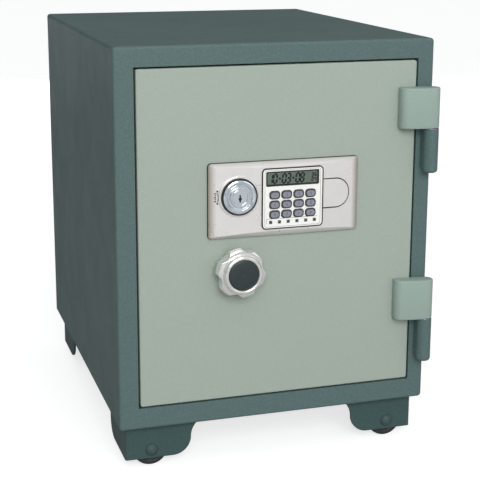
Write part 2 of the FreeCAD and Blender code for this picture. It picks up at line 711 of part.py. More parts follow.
def knob_skirt():
    """A chrome knob with six lobes behind a plain rim, hollowed for the cap."""
    outline = [(0, -4.4), (19.0, -4.4), (22.4, -6.0), (26.2, -10.4), (27.6, -14.4), (27.3, -18.0),
               (25.4, -21.2), (21.0, -22.2), (20.8, -23.0), (21.2, -23.8), (21.0, -26.6), (19.8, -28.2),
               (18.0, -28.6), (16.3, -27.4), (16.2, -25.6), (0, -25.6)]
    body = spun_y(LOCK_X, KNOB_Z, outline)
    scoops = []
    for n in range(6):
        turn = math.radians(75 + 60 * n)
        x, z = LOCK_X + 32.5 * math.cos(turn), KNOB_Z + 32.5 * math.sin(turn)
        scoops.append(rod_y(x, z, 9.6, -22.6, 0))
    return cut_from(body, scoops + [rod_y(LOCK_X, KNOB_Z, SPINDLE_R, -20, 0)])


def knob_cap():
    outline = [(0, -25.6), (16.2, -25.6), (16.0, -27.6), (14.6, -28.4), (9, -28.9), (0, KNOB_FACE)]
    return spun_y(LOCK_X, KNOB_Z, outline)


def crank_spot():
    turn = math.radians(45)
    return LOCK_X + CRANK_R * math.cos(turn), KNOB_Z + CRANK_R * math.sin(turn)


def spindle():
    """The spindle ends in a disc whose pin throws the bolt bar."""
    disc_y = BOLT_Y - 8
    shaft = rod_y(LOCK_X, KNOB_Z, SPINDLE_R, -20, disc_y)
    disc = rod_y(LOCK_X, KNOB_Z, 20, disc_y, disc_y + 4)
    pin_x, pin_z = crank_spot()
    pin = rod_y(pin_x, pin_z, CRANK_PIN_R, disc_y + 4, BOLT_Y + 4)
    return join([shaft, disc, pin])


def spindle_bush():
    tube = rod_y(LOCK_X, KNOB_Z, BUSH_R, MECH_Y - 6, MECH_Y + MECH_T + 3)
    flange = rod_y(LOCK_X, KNOB_Z, 12.0, MECH_Y + MECH_T, MECH_Y + MECH_T + 2)
    return join([tube, flange]).cut(rod_y(LOCK_X, KNOB_Z, SPINDLE_R + RUN_GAP, 0, 80))


def long_slot(x0, x1, z, radius):
    """A level slot with round ends, cut through the bolt bar."""
    y0, y1 = BOLT_Y - 6, BOLT_Y + 6
    return join([box(x0, x1, y0, y1, z - radius, z + radius), rod_y(x0, z, radius, y0, y1),
                 rod_y(x1, z, radius, y0, y1)])


def bolt_bar():
    y0, y1 = BOLT_Y - BAR_T / 2, BOLT_Y + BAR_T / 2
    low, high = BOLT_ZS[0] - 14, BOLT_ZS[-1] + 14
    flange = box(BAR_FLANGE_X, BAR_FLANGE_X + 3, BOLT_Y - 9, BOLT_Y + 9, low, high)
    web = box(BAR_FLANGE_X + 3, -80, y0, y1, low, high)
    lugs = [box(-80, -56, y0, y1, z - 10, z + 10) for z in STUD_ZS]
    arm = box(-80, ARM_RIGHT, y0, y1, ARM_BOTTOM, ARM_TOP)
    pin_x, pin_z = crank_spot()
    half = CRANK_PIN_R + 0.65
    crank_slot = box(pin_x - half, pin_x + half, 60, 72, pin_z - half, KNOB_Z + CRANK_R + half)
    notch = box(SOLENOID_X - 6, SOLENOID_X + BOLT_THROW + 6, 60, 72, ARM_TOP - 9, ARM_TOP + 1)
    slots = [long_slot(STUD_X, STUD_X + BOLT_THROW, z, STUD_R + 0.2) for z in STUD_ZS]
    return cut_from(join([flange, web, arm] + lugs), [crank_slot, notch] + slots)


def locking_bolts():
    bolts = []
    for z in BOLT_ZS:
        bolt = rod_x(BOLT_Y, z, BOLT_R, BOLT_TIP, BAR_FLANGE_X)
        nose = [e for e in bolt.Edges if e.BoundBox.XMax < BOLT_TIP + 0.1]
        bolts.append(bolt.makeChamfer(1.5, nose))
    return bolts


def solenoid():
    body = box(SOLENOID_X - 12, SOLENOID_X + 12, MECH_Y + MECH_T, BOLT_Y + 11, SOLENOID_BOTTOM, SOLENOID_TOP)
    return body.cut(rod_z(SOLENOID_X, BOLT_Y, PLUNGER_R + RUN_GAP, SOLENOID_BOTTOM - 9, SOLENOID_TOP - 8))


def solenoid_plunger():
    rod = rod_z(SOLENOID_X, BOLT_Y, PLUNGER_R, PLUNGER_BOTTOM, PLUNGER_TOP)
    return join([rod, rod_z(SOLENOID_X, BOLT_Y, 5.0, PLUNGER_BOTTOM + 2, PLUNGER_BOTTOM + 4)])


def place(node, shapes):
    solids = shapes if isinstance(shapes, list) else [shapes]
    whole = Part.makeCompound(solids) if len(solids) > 1 else solids[0]
    whole = whole.copy()
    whole.translate(ROW_SHIFT)
    if not whole.isValid():
        print("INVALID", node)
    count = len(whole.Solids)
    print(node, count, round(whole.Volume, 1))
    whole.exportStep("parts/" + node + ".step")


def main():
    os.makedirs("parts", exist_ok=True)
    builders = [
        outer_shell, back_panel, body_insulation, door_frame, heat_seal, inner_liner, bolt_keepers, shelf,
        hinge_barrels, hinge_pins, foot_bolts, door_skin, plug_shell, door_insulation, mechanism_plate,
        door_inner_cover, cover_screws, hinge_straps, lock_panel, keypad_frame, contact_mat, circuit_board,
        display_window, display_panel, indicator_lights, battery_holder, batteries, battery_cover,
        lock_bezel, lock_cylinder, lock_plug, lock_cam, knob_skirt, knob_cap, spindle, spindle_bush,
        bolt_bar, locking_bolts, solenoid, solenoid_plunger,
    ]
    for build in builders:
        place(build.__name__, build())
    place("shelf_pegs", peg_rods())
    place("feet", [mirrored(foot(), *corner) for corner in corners()])
    place("axle_bolts", [mirrored(axle_bolt(), *corner) for corner in corners()])
    place("axle_nuts", [mirrored(axle_nut(), *corner) for corner in corners()])
    for corner in corners():
        place("wheel_" + corner_name(*corner), mirrored(wheel(), *corner))
    for row, z in enumerate(KEY_ZS):
        for column, x in enumerate(KEY_XS):
            place("key_row%d_col%d" % (row + 1, column + 1), key_cap(x, z))


main()
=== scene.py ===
import math

import bmesh
import bpy
from mathutils import Matrix, Vector
from mathutils.bvhtree import BVHTree


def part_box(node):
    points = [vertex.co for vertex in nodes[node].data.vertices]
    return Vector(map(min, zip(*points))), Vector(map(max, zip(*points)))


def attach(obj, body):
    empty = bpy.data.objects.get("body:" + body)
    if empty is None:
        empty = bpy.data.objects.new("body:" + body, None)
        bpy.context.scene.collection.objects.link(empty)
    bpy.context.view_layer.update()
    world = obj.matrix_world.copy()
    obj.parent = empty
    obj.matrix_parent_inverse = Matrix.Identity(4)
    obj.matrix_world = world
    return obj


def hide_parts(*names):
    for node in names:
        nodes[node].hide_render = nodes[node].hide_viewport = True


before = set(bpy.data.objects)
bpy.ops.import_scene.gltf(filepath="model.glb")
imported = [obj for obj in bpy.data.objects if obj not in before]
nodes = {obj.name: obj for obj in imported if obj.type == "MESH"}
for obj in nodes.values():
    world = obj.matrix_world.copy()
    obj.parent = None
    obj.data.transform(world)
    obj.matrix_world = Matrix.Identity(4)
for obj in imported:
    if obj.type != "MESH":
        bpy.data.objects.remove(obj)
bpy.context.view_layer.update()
scene = bpy.context.scene
MM = 0.001

# Brightness of the room: the world's even part, its extra in front and overhead, and the floor's lift.
BASE_GLOW = 0.105
FRONT_GLOW = 0.46
TOP_GLOW = 0.42
FLOOR_LIFT = 0.72
FLOOR_RADIUS = 14

# The camera: turn, drop and roll in degrees, where it stands, its lens and film in mm, and its upward shift.
VIEW_ANGLES = (-17.164, 13.078, 0.171)
VIEW_FROM = (-0.4128, -1.4000, 0.5860)
VIEW_LENS, FILM_WIDTH, VIEW_SHIFT = 92.27, 36, -0.0833


# ---- stage ----
def aim_camera():
    """The camera stands in front of the safe, to its left and a little above it."""
    turn, drop, roll = (math.radians(angle) for angle in VIEW_ANGLES)
    back = Vector((math.sin(turn) * math.cos(drop), -math.cos(turn) * math.cos(drop), math.sin(drop)))
    right = Vector((math.cos(turn), math.sin(turn), 0))
    up = back.cross(right)
    across = right * math.cos(roll) + up * math.sin(roll)
    over = up * math.cos(roll) - right * math.sin(roll)
    place = Matrix((across, over, back)).transposed().to_4x4()
    place.translation = VIEW_FROM
    lens = bpy.data.cameras.new("camera")
    lens.sensor_width = FILM_WIDTH
    lens.lens = VIEW_LENS
    lens.shift_y = VIEW_SHIFT
    lens.dof.use_dof = False
    camera = bpy.data.objects.new("camera", lens)
    camera.matrix_world = place
    scene.collection.objects.link(camera)
    scene.camera = camera


def soft_light(name, place, target, size, power, tint=(1, 1, 1)):
    """A broad rectangular lamp at a place, aimed at a target."""
    light = bpy.data.lights.new(name, "AREA")
    light.shape = "RECTANGLE"
    light.size, light.size_y = size
    light.energy = power
    light.color = tint
    lamp = bpy.data.objects.new(name, light)
    lamp.location = place
    lamp.rotation_euler = (Vector(target) - Vector(place)).to_track_quat("-Z", "Y").to_euler()
    scene.collection.objects.link(lamp)


def light_room():
    """A pale studio: white to the eye, lit mostly from the front and above, dim at the sides and behind."""
    world = bpy.data.worlds.new("studio")
    scene.world = world
    world.use_nodes = True
    tree = world.node_tree
    tree.nodes.clear()
    work = Nodes(tree)
    ray = work.add("ShaderNodeTexCoord").outputs["Generated"]
    part = work.add("ShaderNodeSeparateXYZ", {"Vector": ray})
    front = work.spread(part.outputs["Y"], 0.1, -0.95, 0.0, FRONT_GLOW)
    above = work.spread(part.outputs["Z"], 0.25, 1.0, 0.0, TOP_GLOW)
    level = work.plus(work.plus(front, above), BASE_GLOW)
    seen = work.add("ShaderNodeBackground", {"Color": (1, 1, 1, 1), "Strength": 1.0})
    lit = work.add("ShaderNodeBackground", {"Color": (0.97, 0.99, 1, 1), "Strength": level})
    to_eye = work.add("ShaderNodeLightPath").outputs["Is Camera Ray"]
    both = work.add("ShaderNodeMixShader", {0: to_eye, 1: lit.outputs[0], 2: seen.outputs[0]})
    work.add("ShaderNodeOutputWorld", {"Surface": both.outputs[0]})


def lay_floor():
    """A pale round floor that reaches past the edge of the view."""
    mesh = bpy.data.meshes.new("studio_floor")
    shape = bmesh.new()
    bmesh.ops.create_circle(shape, cap_ends=True, radius=FLOOR_RADIUS, segments=96)
    shape.to_mesh(mesh)
    shape.free()
    floor = bpy.data.objects.new("studio_floor", mesh)
    scene.collection.objects.link(floor)
    material = bpy.data.materials.new("pale_floor")
    material.use_nodes = True
    work = Nodes(material.node_tree)
    shader = material.node_tree.nodes["Principled BSDF"]
    place = work.add("ShaderNodeTexCoord").outputs["Object"]
    cloud = work.noise(place, 2.0, 2.0).outputs["Fac"]
    work.feed(shader.inputs["Base Color"], work.mix(cloud, (0.52, 0.52, 0.52, 1), (0.56, 0.56, 0.56, 1)))
    shader.inputs["Roughness"].default_value = 0.7
    shader.inputs["Specular IOR Level"].default_value = 0.2
    shader.inputs["Emission Color"].default_value = (1, 1, 1, 1)
    seen = work.add("ShaderNodeLightPath").outputs["Is Camera Ray"]
    work.feed(shader.inputs["Emission Strength"], work.times(seen, FLOOR_LIFT))
    mesh.materials.append(material)


# ---- node helpers ----
class Nodes:
    """Short ways of adding nodes to one tree, for shaders and for geometry."""

    def __init__(self, tree):
        self.tree = tree

    def add(self, kind, inputs=None, **settings):
        node = self.tree.nodes.new(kind)
        for key, value in settings.items():
            setattr(node, key, value)
        for name, value in (inputs or {}).items():
            self.feed(node.inputs[name], value)
        return node

    def feed(self, socket, value):
        if isinstance(value, bpy.types.NodeSocket):
            self.tree.links.new(value, socket)
        else:
            socket.default_value = value

    def sum(self, operation, *values, clamp=False):
        node = self.add("ShaderNodeMath", operation=operation, use_clamp=clamp)
        for socket, value in zip(node.inputs, values):
            self.feed(socket, value)
        return node.outputs[0]

    def times(self, first, second, clamp=False):
        return self.sum("MULTIPLY", first, second, clamp=clamp)

    def plus(self, first, second):
        return self.sum("ADD", first, second)

    def minus(self, first, second):
        return self.sum("SUBTRACT", first, second)

    def noise(self, vector, scale, detail, **more):
        return self.add("ShaderNodeTexNoise", {"Vector": vector, "Scale": scale, "Detail": detail, **more})

    def spread(self, value, low, high, to_low=0.0, to_high=1.0):
        node = self.add("ShaderNodeMapRange", {0: value, 1: low, 2: high, 3: to_low, 4: to_high})
        return node.outputs[0]

    def mix(self, factor, first, second):
        node = self.add("ShaderNodeMix", {0: factor, 6: first, 7: second}, data_type="RGBA")
        return node.outputs[2]

    def combine(self, x, y, z):
        return self.add("ShaderNodeCombineXYZ", {"X": x, "Y": y, "Z": z}).outputs[0]

    def group(self, tree, inputs):
        node = self.add("ShaderNodeGroup")
        node.node_tree = tree
        for name, value in inputs.items():
            self.feed(node.inputs[name], value)
        return node


KINDS = {"float": "NodeSocketFloat", "vector": "NodeSocketVector", "int": "NodeSocketInt",
         "mesh": "NodeSocketGeometry", "material": "NodeSocketMaterial"}


def new_group(name, inputs, outputs, kind="ShaderNodeTree"):
    """An empty node group with named sockets; inputs and outputs map a name to (kind, default)."""
    tree = bpy.data.node_groups.new(name, kind)
    for way, sockets in (("INPUT", inputs), ("OUTPUT", outputs)):
        for label, (sort, default) in sockets.items():
            socket = tree.interface.new_socket(label, in_out=way, socket_type=KINDS[sort])
            if default is not None:
                socket.default_value = default
    start = tree.nodes.new("NodeGroupInput")
    end = tree.nodes.new("NodeGroupOutput")
    return tree, Nodes(tree), start.outputs, end.inputs


def rgb(red, green, blue):
    """A linear colour from 0 to 255 display values."""
    def linear(value):
        value /= 255
        return value / 12.92 if value <= 0.04045 else ((value + 0.055) / 1.055) ** 2.4
    return linear(red), linear(green), linear(blue), 1.0


# ---- shader groups ----
def make_grain():
    """Fine grain, centred on a half: Size is the width of one grain."""
    tree, work, start, end = new_group("grain", {"Vector": ("vector", None), "Size": ("float", 0.001),
                                                 "Detail": ("float", 2.0)}, {"Value": ("float", None)})
    scale = work.sum("DIVIDE", 1.0, start["Size"])
    noise = work.noise(start["Vector"], scale, start["Detail"], Roughness=0.55)
    work.feed(end["Value"], work.spread(noise.outputs["Fac"], 0.3, 0.7))
    return tree


def make_hammer():
    """Shallow dimples with raised rims, as hammered enamel dries."""
    tree, work, start, end = new_group("hammer", {"Vector": ("vector", None), "Size": ("float", 0.003)},
                                       {"Height": ("float", None), "Rim": ("float", None)})
    scale = work.sum("DIVIDE", 1.0, start["Size"])
    warp = work.noise(start["Vector"], scale, 1.0)
    reach = work.times(start["Size"], 1.4)
    move = work.add("ShaderNodeVectorMath", {0: warp.outputs["Color"], "Scale": reach}, operation="SCALE")
    place = work.add("ShaderNodeVectorMath", {0: start["Vector"], 1: move.outputs[0]}, operation="ADD")
    cells = work.add("ShaderNodeTexVoronoi", {"Vector": place.outputs[0], "Scale": scale},
                     feature="SMOOTH_F1")
    far = work.spread(cells.outputs["Distance"], 0.1, 0.7)
    work.feed(end["Height"], far)
    work.feed(end["Rim"], work.sum("POWER", far, 3.0))
    return tree


def make_edge_wear_and_highlight():
    """Rounded normals near sharp edges, and a broken mask of those edges, where a finish is tinted for wear
    and for a painted highlight.
    """
    tree, work, start, end = new_group("edges", {"Vector": ("vector", None), "Radius": ("float", 0.0006)},
                                       {"Mask": ("float", None), "Normal": ("vector", None)})
    bevel = work.add("ShaderNodeBevel", {"Radius": start["Radius"]}, samples=4)
    plain = work.add("ShaderNodeNewGeometry").outputs["Normal"]
    dot = work.add("ShaderNodeVectorMath", {0: bevel.outputs[0], 1: plain}, operation="DOT_PRODUCT")
    sharp = work.spread(dot.outputs["Value"], 1.0, 0.86)
    noise = work.noise(start["Vector"], 160.0, 3.0)
    broken = work.spread(noise.outputs["Fac"], 0.38, 0.62, 0.25, 1.0)
    work.feed(end["Mask"], work.times(sharp, broken))
    work.feed(end["Normal"], bevel.outputs[0])
    return tree


def make_dust_and_glint():
    """Faces that look up, in uneven patches: where dust settles, and where the enamel's top gets painted
    glints.
    """
    tree, work, start, end = new_group("dust", {"Vector": ("vector", None), "Amount": ("float", 0.1)},
                                       {"Mask": ("float", None)})
    normal = work.add("ShaderNodeNewGeometry").outputs["Normal"]
    up = work.spread(work.add("ShaderNodeSeparateXYZ", {0: normal}).outputs["Z"], 0.3, 1.0)
    noise = work.noise(start["Vector"], 14.0, 5.0)
    patch = work.spread(noise.outputs["Fac"], 0.35, 0.7, 0.3, 1.0)
    work.feed(end["Mask"], work.times(work.times(up, patch), start["Amount"]))
    return tree


def make_smudge():
    """Slow, cloudy changes of gloss, as hands and wiping leave them."""
    tree, work, start, end = new_group("smudge", {"Vector": ("vector", None), "Size": ("float", 0.04)},
                                       {"Value": ("float", None)})
    scale = work.sum("DIVIDE", 1.0, start["Size"])
    noise = work.noise(start["Vector"], scale, 4.0, Distortion=0.6)
    work.feed(end["Value"], work.spread(noise.outputs["Fac"], 0.3, 0.7))
    return tree


def make_brushed():
    """Long fine lines: Stretch is a vector that is small along the lines."""
    tree, work, start, end = new_group(
        "brushed", {"Vector": ("vector", None), "Stretch": ("vector", (1, 1, 1)), "Size": ("float", 0.0004)},
        {"Value": ("float", None)})
    long = work.add("ShaderNodeVectorMath", {0: start["Vector"], 1: start["Stretch"]}, operation="MULTIPLY")
    scale = work.sum("DIVIDE", 1.0, start["Size"])
    noise = work.noise(long.outputs[0], scale, 3.0)
    work.feed(end["Value"], work.spread(noise.outputs["Fac"], 0.3, 0.7))
    return tree


GRAIN, HAMMER, EDGES, DUST_AND_GLINT, SMUDGE, BRUSHED = (make() for make in (
    make_grain, make_hammer, make_edge_wear_and_highlight, make_dust_and_glint, make_smudge, make_brushed))
FINISHES = {}


class Finish:
    """One material while it is being built: colour, roughness and height are added layer by layer."""

    def __init__(self, name, colour, metallic=0.0, **constants):
        self.material = bpy.data.materials.new(name)
        self.material.use_nodes = True
        FINISHES[name] = self.material
        self.work = Nodes(self.material.node_tree)
        self.shader = self.material.node_tree.nodes["Principled BSDF"]
        self.shader.inputs["Metallic"].default_value = metallic
        for key, value in constants.items():
            self.shader.inputs[key.replace("_", " ")].default_value = value
        self.place = self.work.add("ShaderNodeTexCoord").outputs["Object"]
        self.colour = colour
        self.height = None
        self.normal = None
        self.gloss = None

    def grain(self, size, detail=2.0):
        return self.work.group(GRAIN, {"Vector": self.place, "Size": size, "Detail": detail}).outputs["Value"]

    def smudge(self, size):
        return self.work.group(SMUDGE, {"Vector": self.place, "Size": size}).outputs["Value"]

    def brushed(self, stretch, size=0.0004):
        lines = self.work.group(BRUSHED, {"Vector": self.place, "Stretch": stretch, "Size": size})
        return lines.outputs["Value"]

    def tint(self, mask, colour, amount=1.0):
        """Lays colour over what is there, where the mask says."""
        self.colour = self.work.mix(self.work.times(mask, amount, clamp=True), self.colour, colour)
        return self

    def raise_by(self, value, height):
        """Adds relief: the value, from 0 to 1, times a height in metres."""
        step = self.work.times(value, height)
        self.height = step if self.height is None else self.work.plus(self.height, step)
        return self

    # Tints sharp edges: worn edges, and a painted highlight where the colour given is lighter than the
    # finish.
    def rub_and_highlight_edges(self, colour, amount, radius):
        edge = self.work.group(EDGES, {"Vector": self.place, "Radius": radius})
        self.normal = edge.outputs["Normal"]
        return self.tint(edge.outputs["Mask"], colour, amount)

    def settle_dust(self, amount, colour=(0.42, 0.42, 0.40, 1)):
        mask = self.work.group(DUST_AND_GLINT, {"Vector": self.place, "Amount": amount}).outputs["Mask"]
        return self.tint(mask, colour)

    def shine(self, value, low, high):
        self.gloss = self.work.spread(value, 0.0, 1.0, low, high)
        return self

    def done(self):
        self.work.feed(self.shader.inputs["Base Color"], self.colour)
        self.work.feed(self.shader.inputs["Roughness"], self.gloss)
        if self.height is not None:
            bump = self.work.add("ShaderNodeBump", {"Height": self.height, "Strength": 1.0, "Distance": 1.0})
            if self.normal is not None:
                self.work.feed(bump.inputs["Normal"], self.normal)
            self.normal = bump.outputs["Normal"]
        if self.normal is not None:
            self.work.feed(self.shader.inputs["Normal"], self.normal)
        return self.material


# ---- materials ----
BODY_DARK, BODY_MAIN, BODY_LIGHT = rgb(58, 79, 80), rgb(85, 107, 106), rgb(116, 138, 135)
DOOR_DARK, DOOR_MAIN, DOOR_LIGHT = rgb(146, 159, 147), rgb(162, 174, 163), rgb(177, 187, 177)


def enamel(name, dark, main, light, hammer_size, relief, speckle):
    """Sprayed enamel with a hammered surface, fine flecks, slightly worn edges with a painted highlight, and
    painted glints and specks on faces that look up.
    """
    coat = Finish(name, main, Coat_Weight=0.03, Coat_Roughness=0.35, Specular_IOR_Level=0.22)
    dimples = coat.work.group(HAMMER, {"Vector": coat.place, "Size": hammer_size})
    coat.tint(coat.grain(0.0014, 2.0), dark, speckle)
    coat.tint(dimples.outputs["Rim"], light, speckle * 0.7)
    coat.tint(coat.grain(0.0008, 1.0), light, speckle)
    coat.tint(coat.smudge(0.12), dark, 0.04)
    # Lighter edges: worn paint and a painted highlight along every sharp edge.
    coat.rub_and_highlight_edges(light, 0.55, 0.0009)
    coat.settle_dust(0.03)
    # Extra light and dark flecks on faces that look up: painted glints of light on the hammered enamel of the
    # top.
    top_glint_mask = coat.work.group(DUST_AND_GLINT, {"Vector": coat.place, "Amount": 1.0}).outputs["Mask"]
    coat.tint(coat.work.times(top_glint_mask, coat.grain(0.0026, 1.0)), dark, speckle)
    coat.tint(coat.work.times(top_glint_mask, coat.grain(0.0017, 1.0)), light, speckle * 1.6)
    coat.raise_by(dimples.outputs["Height"], relief).raise_by(coat.grain(0.0007), relief * 0.35)
    coat.shine(coat.smudge(0.05), 0.44, 0.54)
    return coat.done()


def metal(name, colour, dull, stretch, rough, size=0.0004, stain=None, metallic=1.0, relief=0.000002):
    """Bare or plated metal with fine working lines and duller patches."""
    plate = Finish(name, colour, metallic=metallic)
    plate.tint(plate.smudge(0.02), dull, 0.5)
    if stain:
        plate.tint(plate.smudge(0.009), stain, 0.35)
    lines = plate.brushed(stretch, size)
    plate.tint(lines, dull, 0.25)
    # Brighter edges: worn plating and a painted highlight along every sharp edge.
    plate.rub_and_highlight_edges(tuple(min(1.0, c * 1.25) for c in colour[:3]) + (1,), 0.5, 0.0004)
    plate.raise_by(lines, relief)
    plate.shine(lines, *rough)
    return plate.done()


def plastic(name, main, other, grain_size, relief, rough, worn_and_highlit_edge=None, radius=0.0003, amount=0.35):
    """Moulded plastic, rubber or ink with a fine grain; its edges are tinted for wear with a painted
    highlight, and thin printed ink has no such edge tint.
    """
    mould = Finish(name, main)
    mould.tint(mould.grain(grain_size), other, amount)
    mould.tint(mould.smudge(0.03), other, amount * 0.5)
    if worn_and_highlit_edge:
        mould.rub_and_highlight_edges(worn_and_highlit_edge, 0.4, radius)
    mould.raise_by(mould.grain(grain_size), relief)
    mould.shine(mould.smudge(0.012), *rough)
    return mould.done()


def make_materials():
    enamel("body_enamel", BODY_DARK, BODY_MAIN, BODY_LIGHT, 0.0022, 0.00012, 0.28)
    # The feet: the body's enamel made darker, painted shade under the body.
    enamel("foot_enamel_shaded", rgb(46, 66, 67), rgb(62, 83, 83), rgb(84, 106, 105), 0.0020, 0.00004, 0.34)
    enamel("strap_enamel", rgb(134, 154, 145), rgb(149, 168, 160), rgb(164, 180, 173), 0.0017, 0.00003, 0.30)
    enamel("door_enamel", DOOR_DARK, DOOR_MAIN, DOOR_LIGHT, 0.0017, 0.00003, 0.38)
    enamel("inner_enamel", rgb(150, 158, 150), rgb(176, 183, 175), rgb(192, 198, 190), 0.0015, 0.00002, 0.25)

    metal("zinc_plate", rgb(190, 192, 190), rgb(150, 152, 148), (1, 1, 0.06), (0.30, 0.48),
          stain=rgb(196, 184, 150))
    metal("bright_steel", rgb(198, 199, 200), rgb(160, 162, 164), (1, 1, 0.05), (0.16, 0.30))
    metal("chrome_plate", rgb(236, 242, 247), rgb(204, 213, 222), (1, 0.2, 1), (0.10, 0.17), size=0.0012,
          metallic=0.92, relief=0.0000003)
    metal("satin_chrome", rgb(246, 245, 242), rgb(228, 227, 224), (1, 0.2, 1), (0.13, 0.22), size=0.0012,
          metallic=0.72, relief=0.0000005)
    metal("cast_brass", rgb(200, 168, 96), rgb(150, 118, 62), (1, 1, 0.1), (0.22, 0.40),
          stain=rgb(118, 92, 50))

    pearl = Finish("pearl_silver", rgb(240, 238, 236), metallic=0.40, Coat_Weight=0.35, Coat_Roughness=0.18)
    pearl.tint(pearl.grain(0.00035, 1.0), rgb(246, 244, 242), 0.5)
    pearl.tint(pearl.grain(0.00022, 1.0), rgb(204, 201, 198), 0.3)
    pearl.tint(pearl.smudge(0.03), rgb(222, 218, 214), 0.3)
    # Painted dark reflection: the panel's rolled ends and slopes tinted a darker warm beige.
    pearl.tint(painted_rim_reflection(pearl), rgb(146, 134, 114), 0.85)
    pearl.rub_and_highlight_edges(rgb(232, 230, 227), 0.08, 0.0002)
    pearl.raise_by(pearl.grain(0.0003, 1.0), 0.000006)
    pearl.shine(pearl.smudge(0.02), 0.26, 0.36)
    pearl.done()

    # Key bodies: darker than their faces, painted shade on the sides and round the face of each key.
    plastic("key_plastic_shaded", rgb(62, 64, 70), rgb(50, 52, 58), 0.0004, 0.000012, (0.38, 0.50),
            rgb(84, 86, 93), 0.0003)
    plastic("key_face", rgb(142, 143, 156), rgb(124, 125, 138), 0.0004, 0.000010, (0.34, 0.46),
            rgb(168, 169, 181), 0.0003)
    plastic("keypad_pearl", rgb(250, 249, 244), rgb(238, 237, 231), 0.0003, 0.000004, (0.30, 0.40),
            rgb(253, 252, 249), 0.0003)
    plastic("black_plastic", rgb(30, 32, 33), rgb(42, 45, 46), 0.0006, 0.00003, (0.42, 0.58), rgb(66, 69, 70))
    plastic("satin_cap", rgb(38, 48, 49), rgb(48, 59, 59), 0.0005, 0.000016, (0.40, 0.54), rgb(70, 81, 80))
    # Black rubber for the keypad gasket and the panel seam, and painted shade for the dark bands in gaps and
    # round the lock ring.
    plastic("gasket_and_shade_black", rgb(22, 26, 25), rgb(34, 38, 37), 0.0005, 0.00001, (0.60, 0.72))
    # Black ink for printed marks, and painted shade for the keyhole's round opening.
    plastic("print_and_shade_black", rgb(14, 17, 16), rgb(24, 27, 26), 0.0003, 0.000004, (0.60, 0.72))
    plastic("grey_mat", rgb(78, 80, 84), rgb(62, 64, 68), 0.0007, 0.00003, (0.62, 0.75), rgb(96, 98, 102))
    plastic("wheel_black", rgb(36, 38, 40), rgb(52, 55, 57), 0.0009, 0.00006, (0.42, 0.62),
            rgb(92, 95, 96), 0.0007)
    plastic("seal_grey", rgb(58, 56, 54), rgb(84, 80, 76), 0.0012, 0.0001, (0.80, 0.92), rgb(96, 92, 88))
    plastic("key_print", rgb(84, 86, 98), rgb(102, 104, 116), 0.0003, 0.000004, (0.45, 0.55))
    plastic("digit_ink", rgb(9, 13, 11), rgb(18, 23, 20), 0.0003, 0.000002, (0.62, 0.72))

    fill = Finish("fire_fill", rgb(196, 192, 182))
    fill.tint(fill.grain(0.006, 5.0), rgb(162, 157, 146), 0.7)
    fill.tint(fill.grain(0.0012, 3.0), rgb(216, 213, 204), 0.5)
    fill.rub_and_highlight_edges(rgb(222, 219, 212), 0.5, 0.0015)
    fill.raise_by(fill.grain(0.005, 6.0), 0.0006).raise_by(fill.grain(0.0009), 0.0001)
    fill.shine(fill.grain(0.004), 0.86, 0.97)
    fill.done()

    make_board()
    make_display()
    make_glass()
    make_lamps()
    make_cells()
    make_coil()


def painted_rim_reflection(pearl):
    """1 at the lock panel's rolled ends and, more weakly, along its top and bottom slopes: where a painted
    dark reflection is laid on the pearl.
    """
    low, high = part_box("lock_panel")
    part = pearl.work.add("ShaderNodeSeparateXYZ", {0: pearl.place})
    masks = []
    for axis, reach, amount in (("X", 8 * MM, 1.0), ("Z", 4.5 * MM, 0.45)):
        start, stop = getattr(low, axis.lower()), getattr(high, axis.lower())
        masks += [pearl.work.spread(part.outputs[axis], start + reach, start, 0.0, amount),
                  pearl.work.spread(part.outputs[axis], stop - reach, stop, 0.0, amount)]
    ends = pearl.work.sum("MAXIMUM", masks[0], masks[1])
    slopes = pearl.work.sum("MAXIMUM", masks[2], masks[3])
    return pearl.work.sum("MAXIMUM", ends, slopes)


def make_board():
    """A green circuit board: tracks as a maze of fine lines, with tinned pads."""
    board = Finish("circuit_green", rgb(28, 82, 56))
    cells = board.work.add("ShaderNodeTexBrick", {"Vector": board.place, "Scale": 260.0, "Mortar Size": 0.012,
                                                  "Color1": (0, 0, 0, 1), "Color2": (0, 0, 0, 1),
                                                  "Mortar": (1, 1, 1, 1)})
    board.tint(cells.outputs["Fac"], rgb(74, 132, 84), 0.8)
    pads = board.work.add("ShaderNodeTexVoronoi", {"Vector": board.place, "Scale": 300.0, "Randomness": 0.3})
    pad = board.work.spread(pads.outputs["Distance"], 0.16, 0.13)
    board.tint(pad, rgb(196, 190, 172), 0.9)
    board.tint(board.smudge(0.01), rgb(18, 60, 42), 0.4)
    board.rub_and_highlight_edges(rgb(150, 150, 96), 0.6, 0.0003)
    board.raise_by(cells.outputs["Fac"], 0.00003).raise_by(pad, 0.00006)
    board.shine(board.smudge(0.01), 0.30, 0.45)
    return board.done()


def make_display():
    """The grey-green glass of a liquid crystal display, a little uneven."""
    cell = Finish("crystal_grey", rgb(104, 121, 107))
    cell.tint(cell.smudge(0.02), rgb(98, 113, 101), 0.8)
    cell.tint(cell.grain(0.0004, 1.0), rgb(126, 140, 126), 0.3)
    cell.rub_and_highlight_edges(rgb(96, 108, 100), 0.7, 0.0008)
    cell.raise_by(cell.grain(0.0004, 1.0), 0.000002)
    cell.shine(cell.smudge(0.01), 0.32, 0.42)
    return cell.done()


def make_glass():
    """A clear flat lens: almost all of it lets the display through."""
    lens = Finish("window_clear", rgb(70, 76, 72), Alpha=0.06, IOR=1.46)
    lens.tint(lens.smudge(0.01), rgb(96, 104, 98), 0.5)
    lens.rub_and_highlight_edges(rgb(150, 158, 152), 0.5, 0.0002)
    lens.shine(lens.smudge(0.008), 0.04, 0.12)
    return lens.done()


